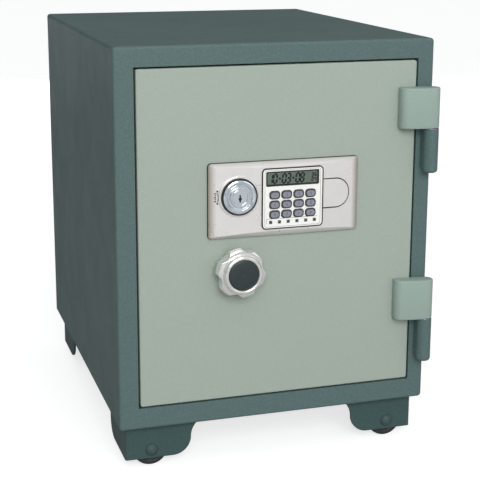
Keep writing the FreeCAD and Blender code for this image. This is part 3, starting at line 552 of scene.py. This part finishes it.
def make_lamps():
    """Small unlit lamps of dark tinted plastic."""
    lamp = Finish("lamp_tint", rgb(44, 40, 40), Coat_Weight=0.8, Coat_Roughness=0.08)
    lamp.tint(lamp.smudge(0.004), rgb(84, 40, 36), 0.5)
    lamp.rub_and_highlight_edges(rgb(96, 70, 66), 0.4, 0.0002)
    lamp.raise_by(lamp.grain(0.0003, 1.0), 0.000003)
    lamp.shine(lamp.smudge(0.003), 0.14, 0.26)
    return lamp.done()


def make_cells():
    """Battery cells: a dark sleeve with a warm band near the front end, and plain steel ends."""
    cell = Finish("cell_sleeve", rgb(38, 42, 46))
    low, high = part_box("batteries")
    depth = cell.work.add("ShaderNodeSeparateXYZ", {0: cell.place}).outputs["Y"]
    band = cell.work.spread(depth, low.y + 12 * MM, low.y + 11.6 * MM)
    cell.tint(band, rgb(176, 138, 74), 0.95)
    tip = cell.work.spread(depth, low.y + 1.3 * MM, low.y + 1.0 * MM)
    tail = cell.work.spread(depth, high.y - 1.1 * MM, high.y - 0.9 * MM)
    ends = cell.work.sum("MAXIMUM", tip, tail)
    cell.tint(ends, rgb(190, 190, 188))
    cell.tint(cell.smudge(0.01), rgb(60, 62, 64), 0.3)
    cell.rub_and_highlight_edges(rgb(120, 120, 118), 0.4, 0.0003)
    cell.raise_by(cell.grain(0.0006), 0.000006)
    cell.work.feed(cell.shader.inputs["Metallic"], cell.work.times(ends, 0.9))
    cell.shine(cell.smudge(0.008), 0.28, 0.42)
    return cell.done()


def make_coil():
    """A solenoid: copper winding in the middle of a zinc frame."""
    low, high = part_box("solenoid")
    coil = Finish("wound_copper", rgb(168, 170, 168))
    up = coil.work.add("ShaderNodeSeparateXYZ", {0: coil.place}).outputs["Z"]
    inside = coil.work.times(coil.work.spread(up, low.z + 4 * MM, low.z + 4.3 * MM),
                           coil.work.spread(up, high.z - 4 * MM, high.z - 4.3 * MM))
    turns = coil.work.add("ShaderNodeTexWave", {"Vector": coil.place, "Scale": 420.0, "Distortion": 0.4},
                          bands_direction="Z").outputs["Fac"]
    coil.tint(inside, rgb(166, 96, 52))
    coil.tint(coil.work.times(inside, turns), rgb(96, 50, 28), 0.6)
    coil.tint(coil.smudge(0.01), rgb(130, 120, 110), 0.25)
    coil.rub_and_highlight_edges(rgb(206, 206, 204), 0.4, 0.0004)
    coil.raise_by(coil.work.times(inside, turns), 0.0001)
    coil.work.feed(coil.shader.inputs["Metallic"], coil.work.spread(inside, 0.0, 1.0, 0.9, 0.65))
    coil.shine(coil.smudge(0.01), 0.32, 0.46)
    return coil.done()


SLOT_FINISH = {
    "body_paint": "body_enamel", "foot_paint": "foot_enamel_shaded", "door_paint": "door_enamel",
    "inner_paint": "inner_enamel", "fire_fill": "fire_fill", "seal": "seal_grey", "zinc": "zinc_plate",
    "steel": "bright_steel", "chrome": "chrome_plate", "brass": "cast_brass", "panel_silver": "pearl_silver",
    "black_plastic": "black_plastic", "keys": "key_plastic_shaded", "rubber_mat": "grey_mat",
    "board": "circuit_green", "window": "window_clear", "display": "crystal_grey", "lights": "lamp_tint",
    "cells": "cell_sleeve", "black_cap": "satin_cap", "solenoid": "wound_copper",
    "wheel_rubber": "wheel_black",
}


def dress_frame():
    """Gives every CAD node its finish, by the name of its material slot; the keypad's face is whiter."""
    for node in nodes.values():
        for slot in node.material_slots:
            slot.material = FINISHES[SLOT_FINISH[slot.material.name.split(".")[0]]]
    for slot in nodes["keypad_frame"].material_slots:
        slot.material = FINISHES["keypad_pearl"]


# ---- making pieces ----
def keep(name, mesh, material, body, slot, *stands_for, sharp=40):
    """Turns a finished mesh into a piece: smooth but for sharp angles, with its finish and its body."""
    mesh.name = name
    mesh.shade_smooth()
    mesh.set_sharp_from_angle(angle=math.radians(sharp))
    if material:
        mesh.materials.clear()
        mesh.materials.append(FINISHES[material])
    piece = bpy.data.objects.new(name, mesh)
    scene.collection.objects.link(piece)
    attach(piece, body)
    if stands_for:
        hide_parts(*stands_for)
    return piece


def to_mesh(shape):
    """A mesh from a bmesh, closed, with its faces pointing outwards."""
    bmesh.ops.remove_doubles(shape, verts=shape.verts, dist=1e-7)
    bmesh.ops.recalc_face_normals(shape, faces=shape.faces)
    mesh = bpy.data.meshes.new("piece")
    shape.to_mesh(mesh)
    shape.free()
    return mesh


def grown(tree, points, **inputs):
    """The plain mesh that a geometry node tree makes from loose points."""
    seeds = bpy.data.meshes.new("seeds")
    seeds.from_pydata(points, [], [])
    holder = bpy.data.objects.new("seeds", seeds)
    scene.collection.objects.link(holder)
    grow = holder.modifiers.new("grow", "NODES")
    grow.node_group = tree
    for socket in tree.interface.items_tree:
        if socket.item_type == "SOCKET" and socket.in_out == "INPUT" and socket.name in inputs:
            grow[socket.identifier] = inputs[socket.name]
    mesh = bpy.data.meshes.new_from_object(holder.evaluated_get(bpy.context.evaluated_depsgraph_get()))
    holder.modifiers.remove(grow)
    bpy.data.objects.remove(holder)
    return mesh


def solids(node):
    """(lowest, highest) corners of each separate solid in a CAD node, sorted by height and then side."""
    shape = bmesh.new()
    shape.from_mesh(nodes[node].data)
    bmesh.ops.remove_doubles(shape, verts=shape.verts, dist=1e-6)
    left, found = set(shape.verts), []
    while left:
        front = [left.pop()]
        corners = []
        while front:
            vertex = front.pop()
            corners.append(vertex.co.copy())
            for edge in vertex.link_edges:
                other = edge.other_vert(vertex)
                if other in left:
                    left.remove(other)
                    front.append(other)
        low = Vector([min(co[k] for co in corners) for k in range(3)])
        high = Vector([max(co[k] for co in corners) for k in range(3)])
        found.append((low, high))
    shape.free()
    return sorted(found, key=lambda box: (round(box[0].z, 4), round(box[0].x, 4), round(box[0].y, 4)))


def softened(node, width, angle=30, steps=3):
    """A copy of a CAD node's mesh with its sharp edges rolled over."""
    shape = bmesh.new()
    shape.from_mesh(nodes[node].data)
    bmesh.ops.remove_doubles(shape, verts=shape.verts, dist=1e-6)
    bmesh.ops.dissolve_limit(shape, angle_limit=math.radians(1), verts=shape.verts, edges=shape.edges)
    sharp = [edge for edge in shape.edges if len(edge.link_faces) == 2
             and edge.calc_face_angle() > math.radians(angle)]
    bmesh.ops.bevel(shape, geom=sharp, offset=width, segments=steps, affect="EDGES", profile=0.5,
                    clamp_overlap=True)
    return to_mesh(shape)


def rounded(x0, x1, z0, z1, radius, steps=8):
    """Corner points of a rounded rectangle, anticlockwise from the bottom right."""
    points = []
    for x, z, start in ((x1 - radius, z0 + radius, -90), (x1 - radius, z1 - radius, 0),
                        (x0 + radius, z1 - radius, 90), (x0 + radius, z0 + radius, 180)):
        for n in range(steps + 1):
            turn = math.radians(start + 90 * n / steps)
            points.append((x + radius * math.cos(turn), z + radius * math.sin(turn)))
    return points


def around(low, high, grow, radius):
    """Corner points of a rounded rectangle that stands out from a box by that much."""
    return rounded(low.x - grow, high.x + grow, low.z - grow, high.z + grow, radius)


def strip(shape, outer, inner, front, back):
    """Adds a closed flat ring between two outlines with the same number of points."""
    count = len(outer)
    rows = [[shape.verts.new((x, y, z)) for x, z in line]
            for line, y in ((outer, front), (inner, front), (inner, back), (outer, back))]
    for n in range(count):
        m = (n + 1) % count
        for k in range(4):
            shape.faces.new((rows[k][n], rows[k][m], rows[(k + 1) % 4][m], rows[(k + 1) % 4][n]))


def slab(shape, outline, front, back):
    """Adds a flat plate with that outline between two depths."""
    near = [shape.verts.new((x, front, z)) for x, z in outline]
    far = [shape.verts.new((x, back, z)) for x, z in outline]
    shape.faces.new(near)
    shape.faces.new(list(reversed(far)))
    for n in range(len(outline)):
        m = (n + 1) % len(outline)
        shape.faces.new((near[n], far[n], far[m], near[m]))


def lettered(text, size, x, z, front, depth):
    """A mesh of raised characters, centred at x and z, facing the person at the door."""
    curve = bpy.data.curves.new("characters", "FONT")
    curve.body = text
    curve.size = size
    curve.extrude = depth / 2
    curve.align_x = "CENTER"
    curve.align_y = "CENTER"
    curve.resolution_u = 3
    holder = bpy.data.objects.new("characters", curve)
    scene.collection.objects.link(holder)
    mesh = bpy.data.meshes.new_from_object(holder.evaluated_get(bpy.context.evaluated_depsgraph_get()))
    bpy.data.objects.remove(holder)
    mesh.transform(Matrix.Translation((x, front + depth / 2, z)) @ Matrix.Rotation(math.radians(90), 4, "X"))
    shape = bmesh.new()
    shape.from_mesh(mesh)
    return to_mesh(shape)


# ---- geometry node trees ----
def start_tree(name, inputs):
    """A tree that takes seed points and a material besides its own inputs."""
    sockets = {"Seeds": ("mesh", None), **inputs, "Material": ("material", None)}
    tree, work, start, end = new_group(name, sockets, {"Mesh": ("mesh", None)}, "GeometryNodeTree")
    tree.is_modifier = True
    return tree, work, start, end


def finish_tree(work, start, end, shape):
    """Puts the shape at every seed point, realizes it, merges doubles and dresses the result."""
    spots = work.add("GeometryNodeInstanceOnPoints", {"Points": start["Seeds"], "Instance": shape})
    real = work.add("GeometryNodeRealizeInstances", {"Geometry": spots.outputs[0]})
    whole = work.add("GeometryNodeMergeByDistance", {"Geometry": real.outputs[0], "Distance": 1e-6})
    dressed = work.add("GeometryNodeSetMaterial", {"Geometry": whole.outputs[0],
                                                   "Material": start["Material"]})
    work.feed(end["Mesh"], dressed.outputs[0])


def turned_grid(work, rings, steps):
    """A grid to be wrapped round an axis: its mesh, the share of the way along the profile, and the turn."""
    grid = work.add("GeometryNodeMeshGrid", {"Size X": 1.0, "Size Y": 1.0,
                                             "Vertices X": rings, "Vertices Y": steps})
    part = work.add("ShaderNodeSeparateXYZ", {0: work.add("GeometryNodeInputPosition").outputs[0]})
    along = work.plus(part.outputs["X"], 0.5)
    turn = work.times(work.plus(part.outputs["Y"], 0.5), 2 * math.pi)
    return grid.outputs["Mesh"], along, turn


def profile_curve(work, value, points):
    """A float curve through points, given as (share of the way, value) pairs."""
    node = work.add("ShaderNodeFloatCurve", {"Value": value})
    line = node.mapping.curves[0]
    while len(line.points) < len(points):
        line.points.new(0.5, 0.5)
    for dot, (x, y) in zip(line.points, points):
        dot.location = (x, y)
        dot.handle_type = "VECTOR"
    node.mapping.update()
    return node.outputs[0]


PROFILE_SPAN = 30


def profile_length(work, along, values, sign=1, zero=0.0):
    """A length that follows values in mm along the profile; zero is where the curve stands for nothing."""
    share = len(values) - 1
    dots = [(n / share, zero + value / PROFILE_SPAN) for n, value in enumerate(values)]
    return work.times(work.minus(profile_curve(work, along, dots), zero), sign * PROFILE_SPAN * MM)


def wrapped(work, mesh, radius, depth, turn):
    """Puts a grid's points round the y axis at that radius and depth."""
    x = work.times(radius, work.sum("COSINE", turn))
    z = work.times(radius, work.sum("SINE", turn))
    moved = work.add("GeometryNodeSetPosition", {"Geometry": mesh, "Position": work.combine(x, depth, z)})
    return moved.outputs[0]


def lobed_skirt_tree():
    """A spun skirt with finger scoops cut in its flared rim, their edges softly rounded."""
    tree, work, start, end = start_tree("lobed_skirt", {
        "Rings": ("int", 170), "Steps": ("int", 241), "Lobes": ("float", 6.0), "Turn": ("float", 0.0),
        "Scoop Radius": ("float", 0.0096), "Scoop Centre": ("float", 0.0325), "Round": ("float", 0.0012)})
    grid, along, turn = turned_grid(work, start["Rings"], start["Steps"])
    profile = [(0, 4.4), (19.0, 4.4), (20.9, 4.9), (22.8, 6.3), (25.0, 8.8), (26.5, 11.2), (27.35, 13.4),
               (27.6, 15.6), (27.4, 17.8), (26.7, 19.8), (25.6, 21.0), (24.2, 21.6), (21.4, 22.0),
               (20.9, 22.3), (20.8, 22.8), (21.05, 23.4), (21.2, 24.2), (21.05, 26.4), (20.7, 27.3),
               (20.0, 28.0), (19.0, 28.5), (18.0, 28.6), (17.0, 28.2), (16.4, 27.4), (16.25, 25.7),
               (15.9, 25.6), (0, 25.6)]
    radius = profile_length(work, along, [r for r, _ in profile])
    depth = profile_length(work, along, [y for _, y in profile], sign=-1)
    sector = work.sum("DIVIDE", 2 * math.pi, start["Lobes"])
    off = work.minus(turn, start["Turn"])
    near = work.minus(off, work.times(work.sum("ROUND", work.sum("DIVIDE", off, sector)), sector))
    side = work.times(start["Scoop Centre"], work.sum("SINE", near))
    chord = work.minus(work.sum("POWER", start["Scoop Radius"], 2.0), work.sum("POWER", side, 2.0))
    reach = work.minus(work.times(start["Scoop Centre"], work.sum("COSINE", near)),
                     work.sum("SQRT", work.sum("MAXIMUM", chord, 0.0)))
    inside = work.sum("GREATER_THAN", chord, 0.0)
    bound = work.spread(inside, 0.0, 1.0, 0.05, reach)
    lobed = work.sum("SMOOTH_MIN", radius, bound, start["Round"])
    skirt = wrapped(work, grid, lobed, depth, turn)
    finish_tree(work, start, end, skirt)
    return tree


def cross_screw_tree():
    """Domed screw heads with a cross recess, one at each point."""
    tree, work, start, end = start_tree("cross_screws", {
        "Head Radius": ("float", 0.004), "Head Height": ("float", 0.0018), "Slot Width": ("float", 0.00085),
        "Slot Length": ("float", 0.0022), "Slot Depth": ("float", 0.0011),
        "Rings": ("int", 26), "Steps": ("int", 49)})
    grid, along, turn = turned_grid(work, start["Rings"], start["Steps"])
    outline = profile_curve(work, along, [(0, 0), (0.8, 1), (0.9, 1), (1, 0)])
    radius = work.times(start["Head Radius"], outline)
    share = work.sum("DIVIDE", radius, start["Head Radius"])
    fall = work.times(0.72, work.sum("POWER", share, 2.0))
    dome = work.times(start["Head Height"], work.sum("SQRT", work.minus(1.0, fall)))
    skirt = work.spread(along, 0.8, 0.9, 1.0, 0.0)
    across = work.sum("ABSOLUTE", work.times(radius, work.sum("COSINE", turn)))
    beside = work.sum("ABSOLUTE", work.times(radius, work.sum("SINE", turn)))
    small = work.sum("MINIMUM", across, beside)
    large = work.sum("MAXIMUM", across, beside)
    narrow = work.spread(small, work.times(start["Slot Width"], 0.7), work.times(start["Slot Width"], 0.3))
    short = work.spread(large, start["Slot Length"], work.times(start["Slot Length"], 0.7))
    cut = work.times(work.times(work.times(narrow, short), skirt), start["Slot Depth"])
    height = work.minus(work.times(dome, skirt), cut)
    head = wrapped(work, grid, radius, height, turn)
    finish_tree(work, start, end, head)
    return tree


def ribbed_wheel_tree():
    """A solid wheel spun from its section, with shallow grooves across the tread."""
    tree, work, start, end = start_tree("ribbed_wheel", {
        "Rings": ("int", 69), "Steps": ("int", 217), "Grooves": ("float", 27.0),
        "Groove Depth": ("float", 0.0005)})
    grid, along, turn = turned_grid(work, start["Rings"], start["Steps"])
    half = [(4.05, 10.2), (7.5, 10.2), (8.0, 9.8), (8.0, 8.2), (8.6, 8.0), (13.6, 8.0), (14.4, 8.3),
            (15.0, 9.0), (18.4, 9.0), (19.4, 7.9), (19.9, 6.0), (20.0, 4.6)]
    profile = [(r, -y) for r, y in half] + half[::-1] + [(half[0][0], -half[0][1])]
    radius = profile_length(work, along, [r for r, _ in profile])
    depth = profile_length(work, along, [y for _, y in profile], zero=0.5)
    tread = work.spread(radius, 19.3 * MM, 19.8 * MM)
    wave = work.spread(work.sum("COSINE", work.times(turn, start["Grooves"])), 0.25, 0.75)
    cut = work.times(work.times(tread, wave), start["Groove Depth"])
    wheel = wrapped(work, grid, work.minus(radius, cut), depth, turn)
    finish_tree(work, start, end, wheel)
    return tree


# ---- lock panel details ----
def panel_depth(x, z):
    """How far forward the lock panel's crowned face stands at that spot."""
    hit = PANEL_SURFACE.ray_cast(Vector((x, -1, z)), Vector((0, 1, 0)))[0]
    return hit.y


def draped(shape, line, width, lift=0.08 * MM, sink=0.3 * MM):
    """Adds a thin raised band that follows a line of (x, z) points over the panel's face."""
    rows = []
    for n, (x, z) in enumerate(line):
        a, b = line[max(n - 1, 0)], line[min(n + 1, len(line) - 1)]
        way = Vector((b[0] - a[0], b[1] - a[1])).normalized() * width / 2
        y = panel_depth(x, z)
        rows.append([shape.verts.new((x + sx * way.y, depth, z - sx * way.x))
                     for sx, depth in ((-1, y - lift), (1, y - lift), (1, y + sink), (-1, y + sink))])
    for first, second in zip(rows, rows[1:]):
        for k in range(4):
            shape.faces.new((first[k], first[(k + 1) % 4], second[(k + 1) % 4], second[k]))
    shape.faces.new(rows[0])
    shape.faces.new(list(reversed(rows[-1])))


def make_panel_shadow_band():
    """A thin dark band all round the foot of the lock panel: painted shade where the panel meets the door."""
    low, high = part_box("lock_panel")
    out, tuck, corner = 0.55 * MM, 0.6 * MM, 3.5 * MM
    shape = bmesh.new()
    strip(shape, around(low, high, out, corner + out), around(low, high, -tuck, corner - tuck),
          high.y - 0.9 * MM, high.y - 0.02 * MM)
    keep("panel_shadow_band", to_mesh(shape), "gasket_and_shade_black", "door", "black_plastic")


def make_keypad():
    """The gasket round the keypad, and its printed lines and squares."""
    low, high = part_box("keypad_frame")
    face, sunk, lift = low.y, low.y + 0.2 * MM, low.y - 0.05 * MM
    shape = bmesh.new()
    strip(shape, around(low, high, 0.8 * MM, 4.8 * MM), around(low, high, -0.45 * MM, 3.55 * MM),
          face - 0.1 * MM, face + 4 * MM)
    keep("keypad_gasket", to_mesh(shape), "gasket_and_shade_black", "door", "black_plastic")

    shape = bmesh.new()
    line, side, edge, corner = 0.28 * MM, 2.3 * MM, 1.6 * MM, 2.2 * MM
    wide = rounded(low.x + side, high.x - side, low.z + edge, high.z - edge, corner)
    thin = rounded(low.x + side + line, high.x - side - line, low.z + edge + line,
                   high.z - edge - line, corner - line)
    strip(shape, wide, thin, lift, sunk)
    lamp_low, lamp_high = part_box("indicator_lights")
    middle = (lamp_low.z + lamp_high.z) / 2
    left, right, bar = low.x + 4.2 * MM, high.x - 5.4 * MM, middle + 3.6 * MM
    foot = bar - 5.6 * MM
    slab(shape, [(left, bar), (right, bar), (right, bar + line), (left, bar + line)], lift, sunk)
    slab(shape, [(left, foot), (left + line, foot), (left + line, bar), (left, bar)], lift, sunk)
    for lamp, other in solids("indicator_lights"):
        x = (lamp.x + other.x) / 2
        outer, inner = (rounded(x - half, x + half, middle - half, middle + half, radius)
                        for half, radius in ((1.75 * MM, 0.5 * MM), (1.12 * MM, 0.45 * MM)))
        strip(shape, outer, inner, lift, sunk)
    keep("keypad_print", to_mesh(shape), "print_and_shade_black", "door", "black_plastic")


def capital_d(low, high, grow):
    """Corner points of the battery cover's outline: square on the left, a half round on the right."""
    x0, x1, z0, z1 = low.x - grow, high.x + grow, low.z - grow, high.z + grow
    radius = (high.z - low.z) * 0.477 + grow
    points = [(x0, z1), (x0, z0)]
    for x, z, start in ((x1 - radius, z0 + radius, -90), (x1 - radius, z1 - radius, 0)):
        for n in range(17):
            turn = math.radians(start + 90 * n / 16)
            points.append((x + radius * math.cos(turn), z + radius * math.sin(turn)))
    return points


def make_cover_gap_shade():
    """A dark band in the gap round the battery cover, with a thin lip on the panel's face: painted shade in
    the gap.
    """
    low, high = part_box("battery_cover")
    shape = bmesh.new()
    left, (top, bottom, *bend) = low.x + 0.2 * MM, capital_d(low, high, 0.95 * MM)
    draped(shape, [(left, bottom[1]), *bend, (left, top[1])], 0.5 * MM)
    strip(shape, capital_d(low, high, 0.68 * MM), capital_d(low, high, 0.06 * MM),
          low.y + 0.05 * MM, low.y + 1.8 * MM)
    keep("cover_gap_shade", to_mesh(shape), "gasket_and_shade_black", "door", "black_plastic")


def turned(shape, profile, middle, steps=96):
    """Adds a closed ring: a profile of (radius, depth) points spun about the depth axis through middle."""
    rows = []
    for n in range(steps):
        turn = 2 * math.pi * n / steps
        rows.append([shape.verts.new((middle.x + r * math.cos(turn), y, middle.z + r * math.sin(turn)))
                     for r, y in profile])
    for n in range(steps):
        first, second = rows[n], rows[(n + 1) % steps]
        for k in range(len(profile)):
            m = (k + 1) % len(profile)
            shape.faces.new((first[k], first[m], second[m], second[k]))


def make_lock_painted_shade():
    """A dark ring round the chrome ring, painted shade and dark reflection on its outer wall, and a round
    dark eye over the keyhole's slot, painted shade of the keyhole's opening.
    """
    low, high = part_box("lock_bezel")
    middle, wide = (low + high) / 2, (high.x - low.x) / 2
    shape = bmesh.new()
    turned(shape, [(wide - 1.6 * MM, low.y + 0.2 * MM), (wide - 0.9 * MM, low.y + 0.35 * MM),
                   (wide + 0.1 * MM, low.y + 1.4 * MM), (wide + 0.15 * MM, high.y),
                   (wide - 1.0 * MM, high.y)], middle)
    keep("lock_collar", to_mesh(shape), "gasket_and_shade_black", "door", "black_plastic")
    low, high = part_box("lock_plug")
    shape = bmesh.new()
    hub, eye, drop = 0.2 * MM, 1.8 * MM, 1.8 * MM
    front, back = low.y - 0.03 * MM, low.y + 0.4 * MM
    turned(shape, [(hub, front), (eye, front), (eye, back), (hub, back)],
           Vector((middle.x, 0, middle.z - drop)), 32)
    keep("keyhole_eye_shade", to_mesh(shape), "print_and_shade_black", "key_plug", "black_plastic")


def make_window():
    """A black surround, dark digits and a clear lens over the display."""
    low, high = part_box("display_window")
    gap, corner, back = 0.05 * MM, 1.4 * MM, high.y
    x0, x1, z0, z1 = low.x + gap, high.x - gap, low.z + gap, high.z - gap
    middle = (z0 + z1) / 2
    shape = bmesh.new()
    strip(shape, rounded(x0, x1, z0, z1, corner),
          rounded(x0 + 1.8 * MM, x1 - 1.8 * MM, z0 + 1.9 * MM, z1 - 1.6 * MM, 0.5 * MM),
          back - 0.3 * MM, back + 0.1 * MM)
    keep("window_surround", to_mesh(shape), "print_and_shade_black", "door", "black_plastic")
    shape = bmesh.new()
    slab(shape, rounded(x0, x1, z0, z1, corner), low.y, back - 0.35 * MM)
    keep("window_lens", to_mesh(shape), "window_clear", "door", "window", "display_window")

    shape = bmesh.new()
    front, first, step, tall = back - 0.06 * MM, x0 + 3.6 * MM, 5.0 * MM, 9.6 * MM
    for n, sign in enumerate("10-03-08"):
        segment_digit(shape, sign, first + n * step, middle, step * 0.74, tall, front)
    for row, signs in enumerate(("36", "24")):
        for n, sign in enumerate(signs):
            segment_digit(shape, sign, x1 - (8.2 - 3.4 * n) * MM, middle + (2.4 - 4.9 * row) * MM,
                          2.1 * MM, 3.7 * MM, front)
    keep("display_digits", to_mesh(shape), "digit_ink", "door", "black_plastic")


SEGMENTS = {"0": "abcdef", "1": "bc", "2": "abged", "3": "abgcd", "4": "fgbc",
            "6": "afgedc", "8": "abcdefg", "-": "g"}


def segment_digit(shape, sign, x, z, wide, tall, front):
    """One seven-segment figure, leaning a little to the right, with its bottom left at x."""
    thick = wide * 0.56
    gap = thick * 0.06
    half = tall / 2
    spots = {"a": (0, half, wide, half), "g": (0, 0, wide, 0), "d": (0, -half, wide, -half),
             "f": (0, 0, 0, half), "e": (0, -half, 0, 0), "b": (wide, 0, wide, half),
             "c": (wide, -half, wide, 0)}
    for letter in SEGMENTS[sign]:
        x0, z0, x1, z1 = spots[letter]
        along = Vector((x1 - x0, z1 - z0)).normalized()
        side = Vector((-along.y, along.x)) * thick / 2
        a = Vector((x0, z0)) + along * gap
        b = Vector((x1, z1)) - along * gap
        tip = along * thick / 2
        outline = [a, a + tip - side, b - tip - side, b, b - tip + side, a + tip + side]
        slab(shape, [(x + p.x + 0.1 * p.y, z + p.y) for p in outline], front, front + 0.08 * MM)


def pillow(shape, low, high, inset, radius, rise, edge):
    """Adds a low rounded pad with a chamfered rim over the front of a key."""
    x0, x1, z0, z1 = low.x + inset, high.x - inset, low.z + inset, high.z - inset
    loops = []
    for grow, y in ((0, low.y + 0.3 * MM), (0, low.y - rise + edge), (-edge, low.y - rise)):
        loops.append([shape.verts.new((x, y, z)) for x, z in
                      rounded(x0 - grow, x1 + grow, z0 - grow, z1 + grow, radius + grow)])
    for first, second in zip(loops, loops[1:]):
        for n in range(len(first)):
            m = (n + 1) % len(first)
            shape.faces.new((first[n], first[m], second[m], second[n]))
    shape.faces.new(loops[-1])
    shape.faces.new(list(reversed(loops[0])))


def make_legends():
    """A pad in the key's own lighter face colour and a faint figure on each of the twelve keys, riding on its
    own key; the darker key round each pad is painted shade.
    """
    signs = "1234567890*#"
    for row in range(3):
        for column in range(4):
            key = f"key_row{row + 1}_col{column + 1}"
            low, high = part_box(key)
            sign = signs[row * 4 + column]
            shape = bmesh.new()
            pillow(shape, low, high, 1.25 * MM, 2.7 * MM, 0.16 * MM, 0.12 * MM)
            keep(f"pad_row{row + 1}_col{column + 1}", to_mesh(shape), "key_face", key, "keys")
            drop = 1.1 * MM if sign == "*" else 0
            mesh = lettered(sign, 4.6 * MM, (low.x + high.x) / 2, (low.z + high.z) / 2 - drop,
                            low.y - 0.20 * MM, 0.2 * MM)
            keep(f"legend_row{row + 1}_col{column + 1}", mesh, "key_print", key, "keys")


def make_panel_marks():
    """The seam from the lock to the keypad, and the turn marks beside the lock."""
    shape = bmesh.new()
    lock_low, lock_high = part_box("lock_bezel")
    pad_low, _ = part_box("keypad_frame")
    seam = (lock_low.z + lock_high.z) / 2 + 11 * MM
    start, stop = lock_high.x - 1.0 * MM, pad_low.x - 1.3 * MM
    draped(shape, [(start + (stop - start) * n / 8, seam) for n in range(9)], 0.18 * MM)
    keep("panel_seam", to_mesh(shape), "gasket_and_shade_black", "door", "black_plastic")

    shape = bmesh.new()
    x, middle = lock_low.x - 3.4 * MM, (lock_low.z + lock_high.z) / 2
    for side in (-1, 1):
        z = middle + side * 6.5 * MM
        draped(shape, [(x - 0.9 * MM, z), (x + 0.9 * MM, z)], 1.8 * MM)
    for n in range(5):
        z = middle + (n - 2) * 2.1 * MM
        reach = (2.4 if n % 2 == 0 else 1.5) * MM
        draped(shape, [(x - 1.3 * MM - reach, z), (x - 1.3 * MM, z)], 1.1 * MM)
    turns = [math.radians(angle) for angle in range(-10, 191, 20)]
    arc = [(x - 0.4 * MM + 1.2 * MM * math.sin(a), middle + 4.4 * MM * math.cos(a)) for a in turns]
    draped(shape, arc, 0.7 * MM)
    keep("turn_marks", to_mesh(shape), "print_and_shade_black", "door", "black_plastic")


# ---- knob, hinges, fasteners and wheels ----
def make_knob():
    """The chrome skirt of the hand knob, standing on the door."""
    low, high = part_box("knob_skirt")
    middle = ((low.x + high.x) / 2, high.y + 4.4 * MM, (low.z + high.z) / 2)
    mesh = grown(lobed_skirt_tree(), [middle], Turn=math.radians(15), Material=FINISHES["satin_chrome"])
    keep("knob_lobed_skirt", mesh, None, "knob", "chrome", "knob_skirt", sharp=50)


def make_screws():
    """Cross-recess heads for the door cover's screws."""
    spots = [((low.x + high.x) / 2, high.y - 1.85 * MM, (low.z + high.z) / 2)
             for low, high in solids("cover_screws")]
    mesh = grown(cross_screw_tree(), spots, Material=FINISHES["zinc_plate"])
    keep("cross_screws", mesh, None, "door", "zinc", "cover_screws", sharp=35)


def make_wheels():
    """The four wheels, each on its own axle."""
    tree = ribbed_wheel_tree()
    for side in ("front_left", "front_right", "rear_left", "rear_right"):
        node = "wheel_" + side
        low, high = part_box(node)
        mesh = grown(tree, [tuple((low + high) / 2)], Material=FINISHES["wheel_black"])
        keep("ribbed_" + node, mesh, None, node, "wheel_rubber", node, sharp=35)


aim_camera()
light_room()
lay_floor()
soft_light("key_light", (-0.45, -3.0, 1.7), (0, 0, 0.25), (1.8, 1.4), 58)
soft_light("fill_light", (1.7, -2.3, 1.1), (0, 0, 0.2), (1.2, 1.2), 3, (0.95, 0.98, 1))
soft_light("back_light", (0.5, 3.0, 0.22), (0, 0.1, 0.22), (1.8, 0.4), 12, (0.95, 0.98, 1))
make_materials()
dress_frame()
PANEL_SURFACE = BVHTree.FromPolygons([v.co for v in nodes["lock_panel"].data.vertices],
                                     [list(p.vertices) for p in nodes["lock_panel"].data.polygons])
make_panel_shadow_band()
make_keypad()
make_cover_gap_shade()
make_lock_painted_shade()
make_window()
make_legends()
make_panel_marks()
make_knob()
keep("hinge_leaves", softened("hinge_straps", 1.5 * MM), "strap_enamel", "door", "door_paint", "hinge_straps")
make_screws()
make_wheels()

scene.view_settings.view_transform = "Standard"
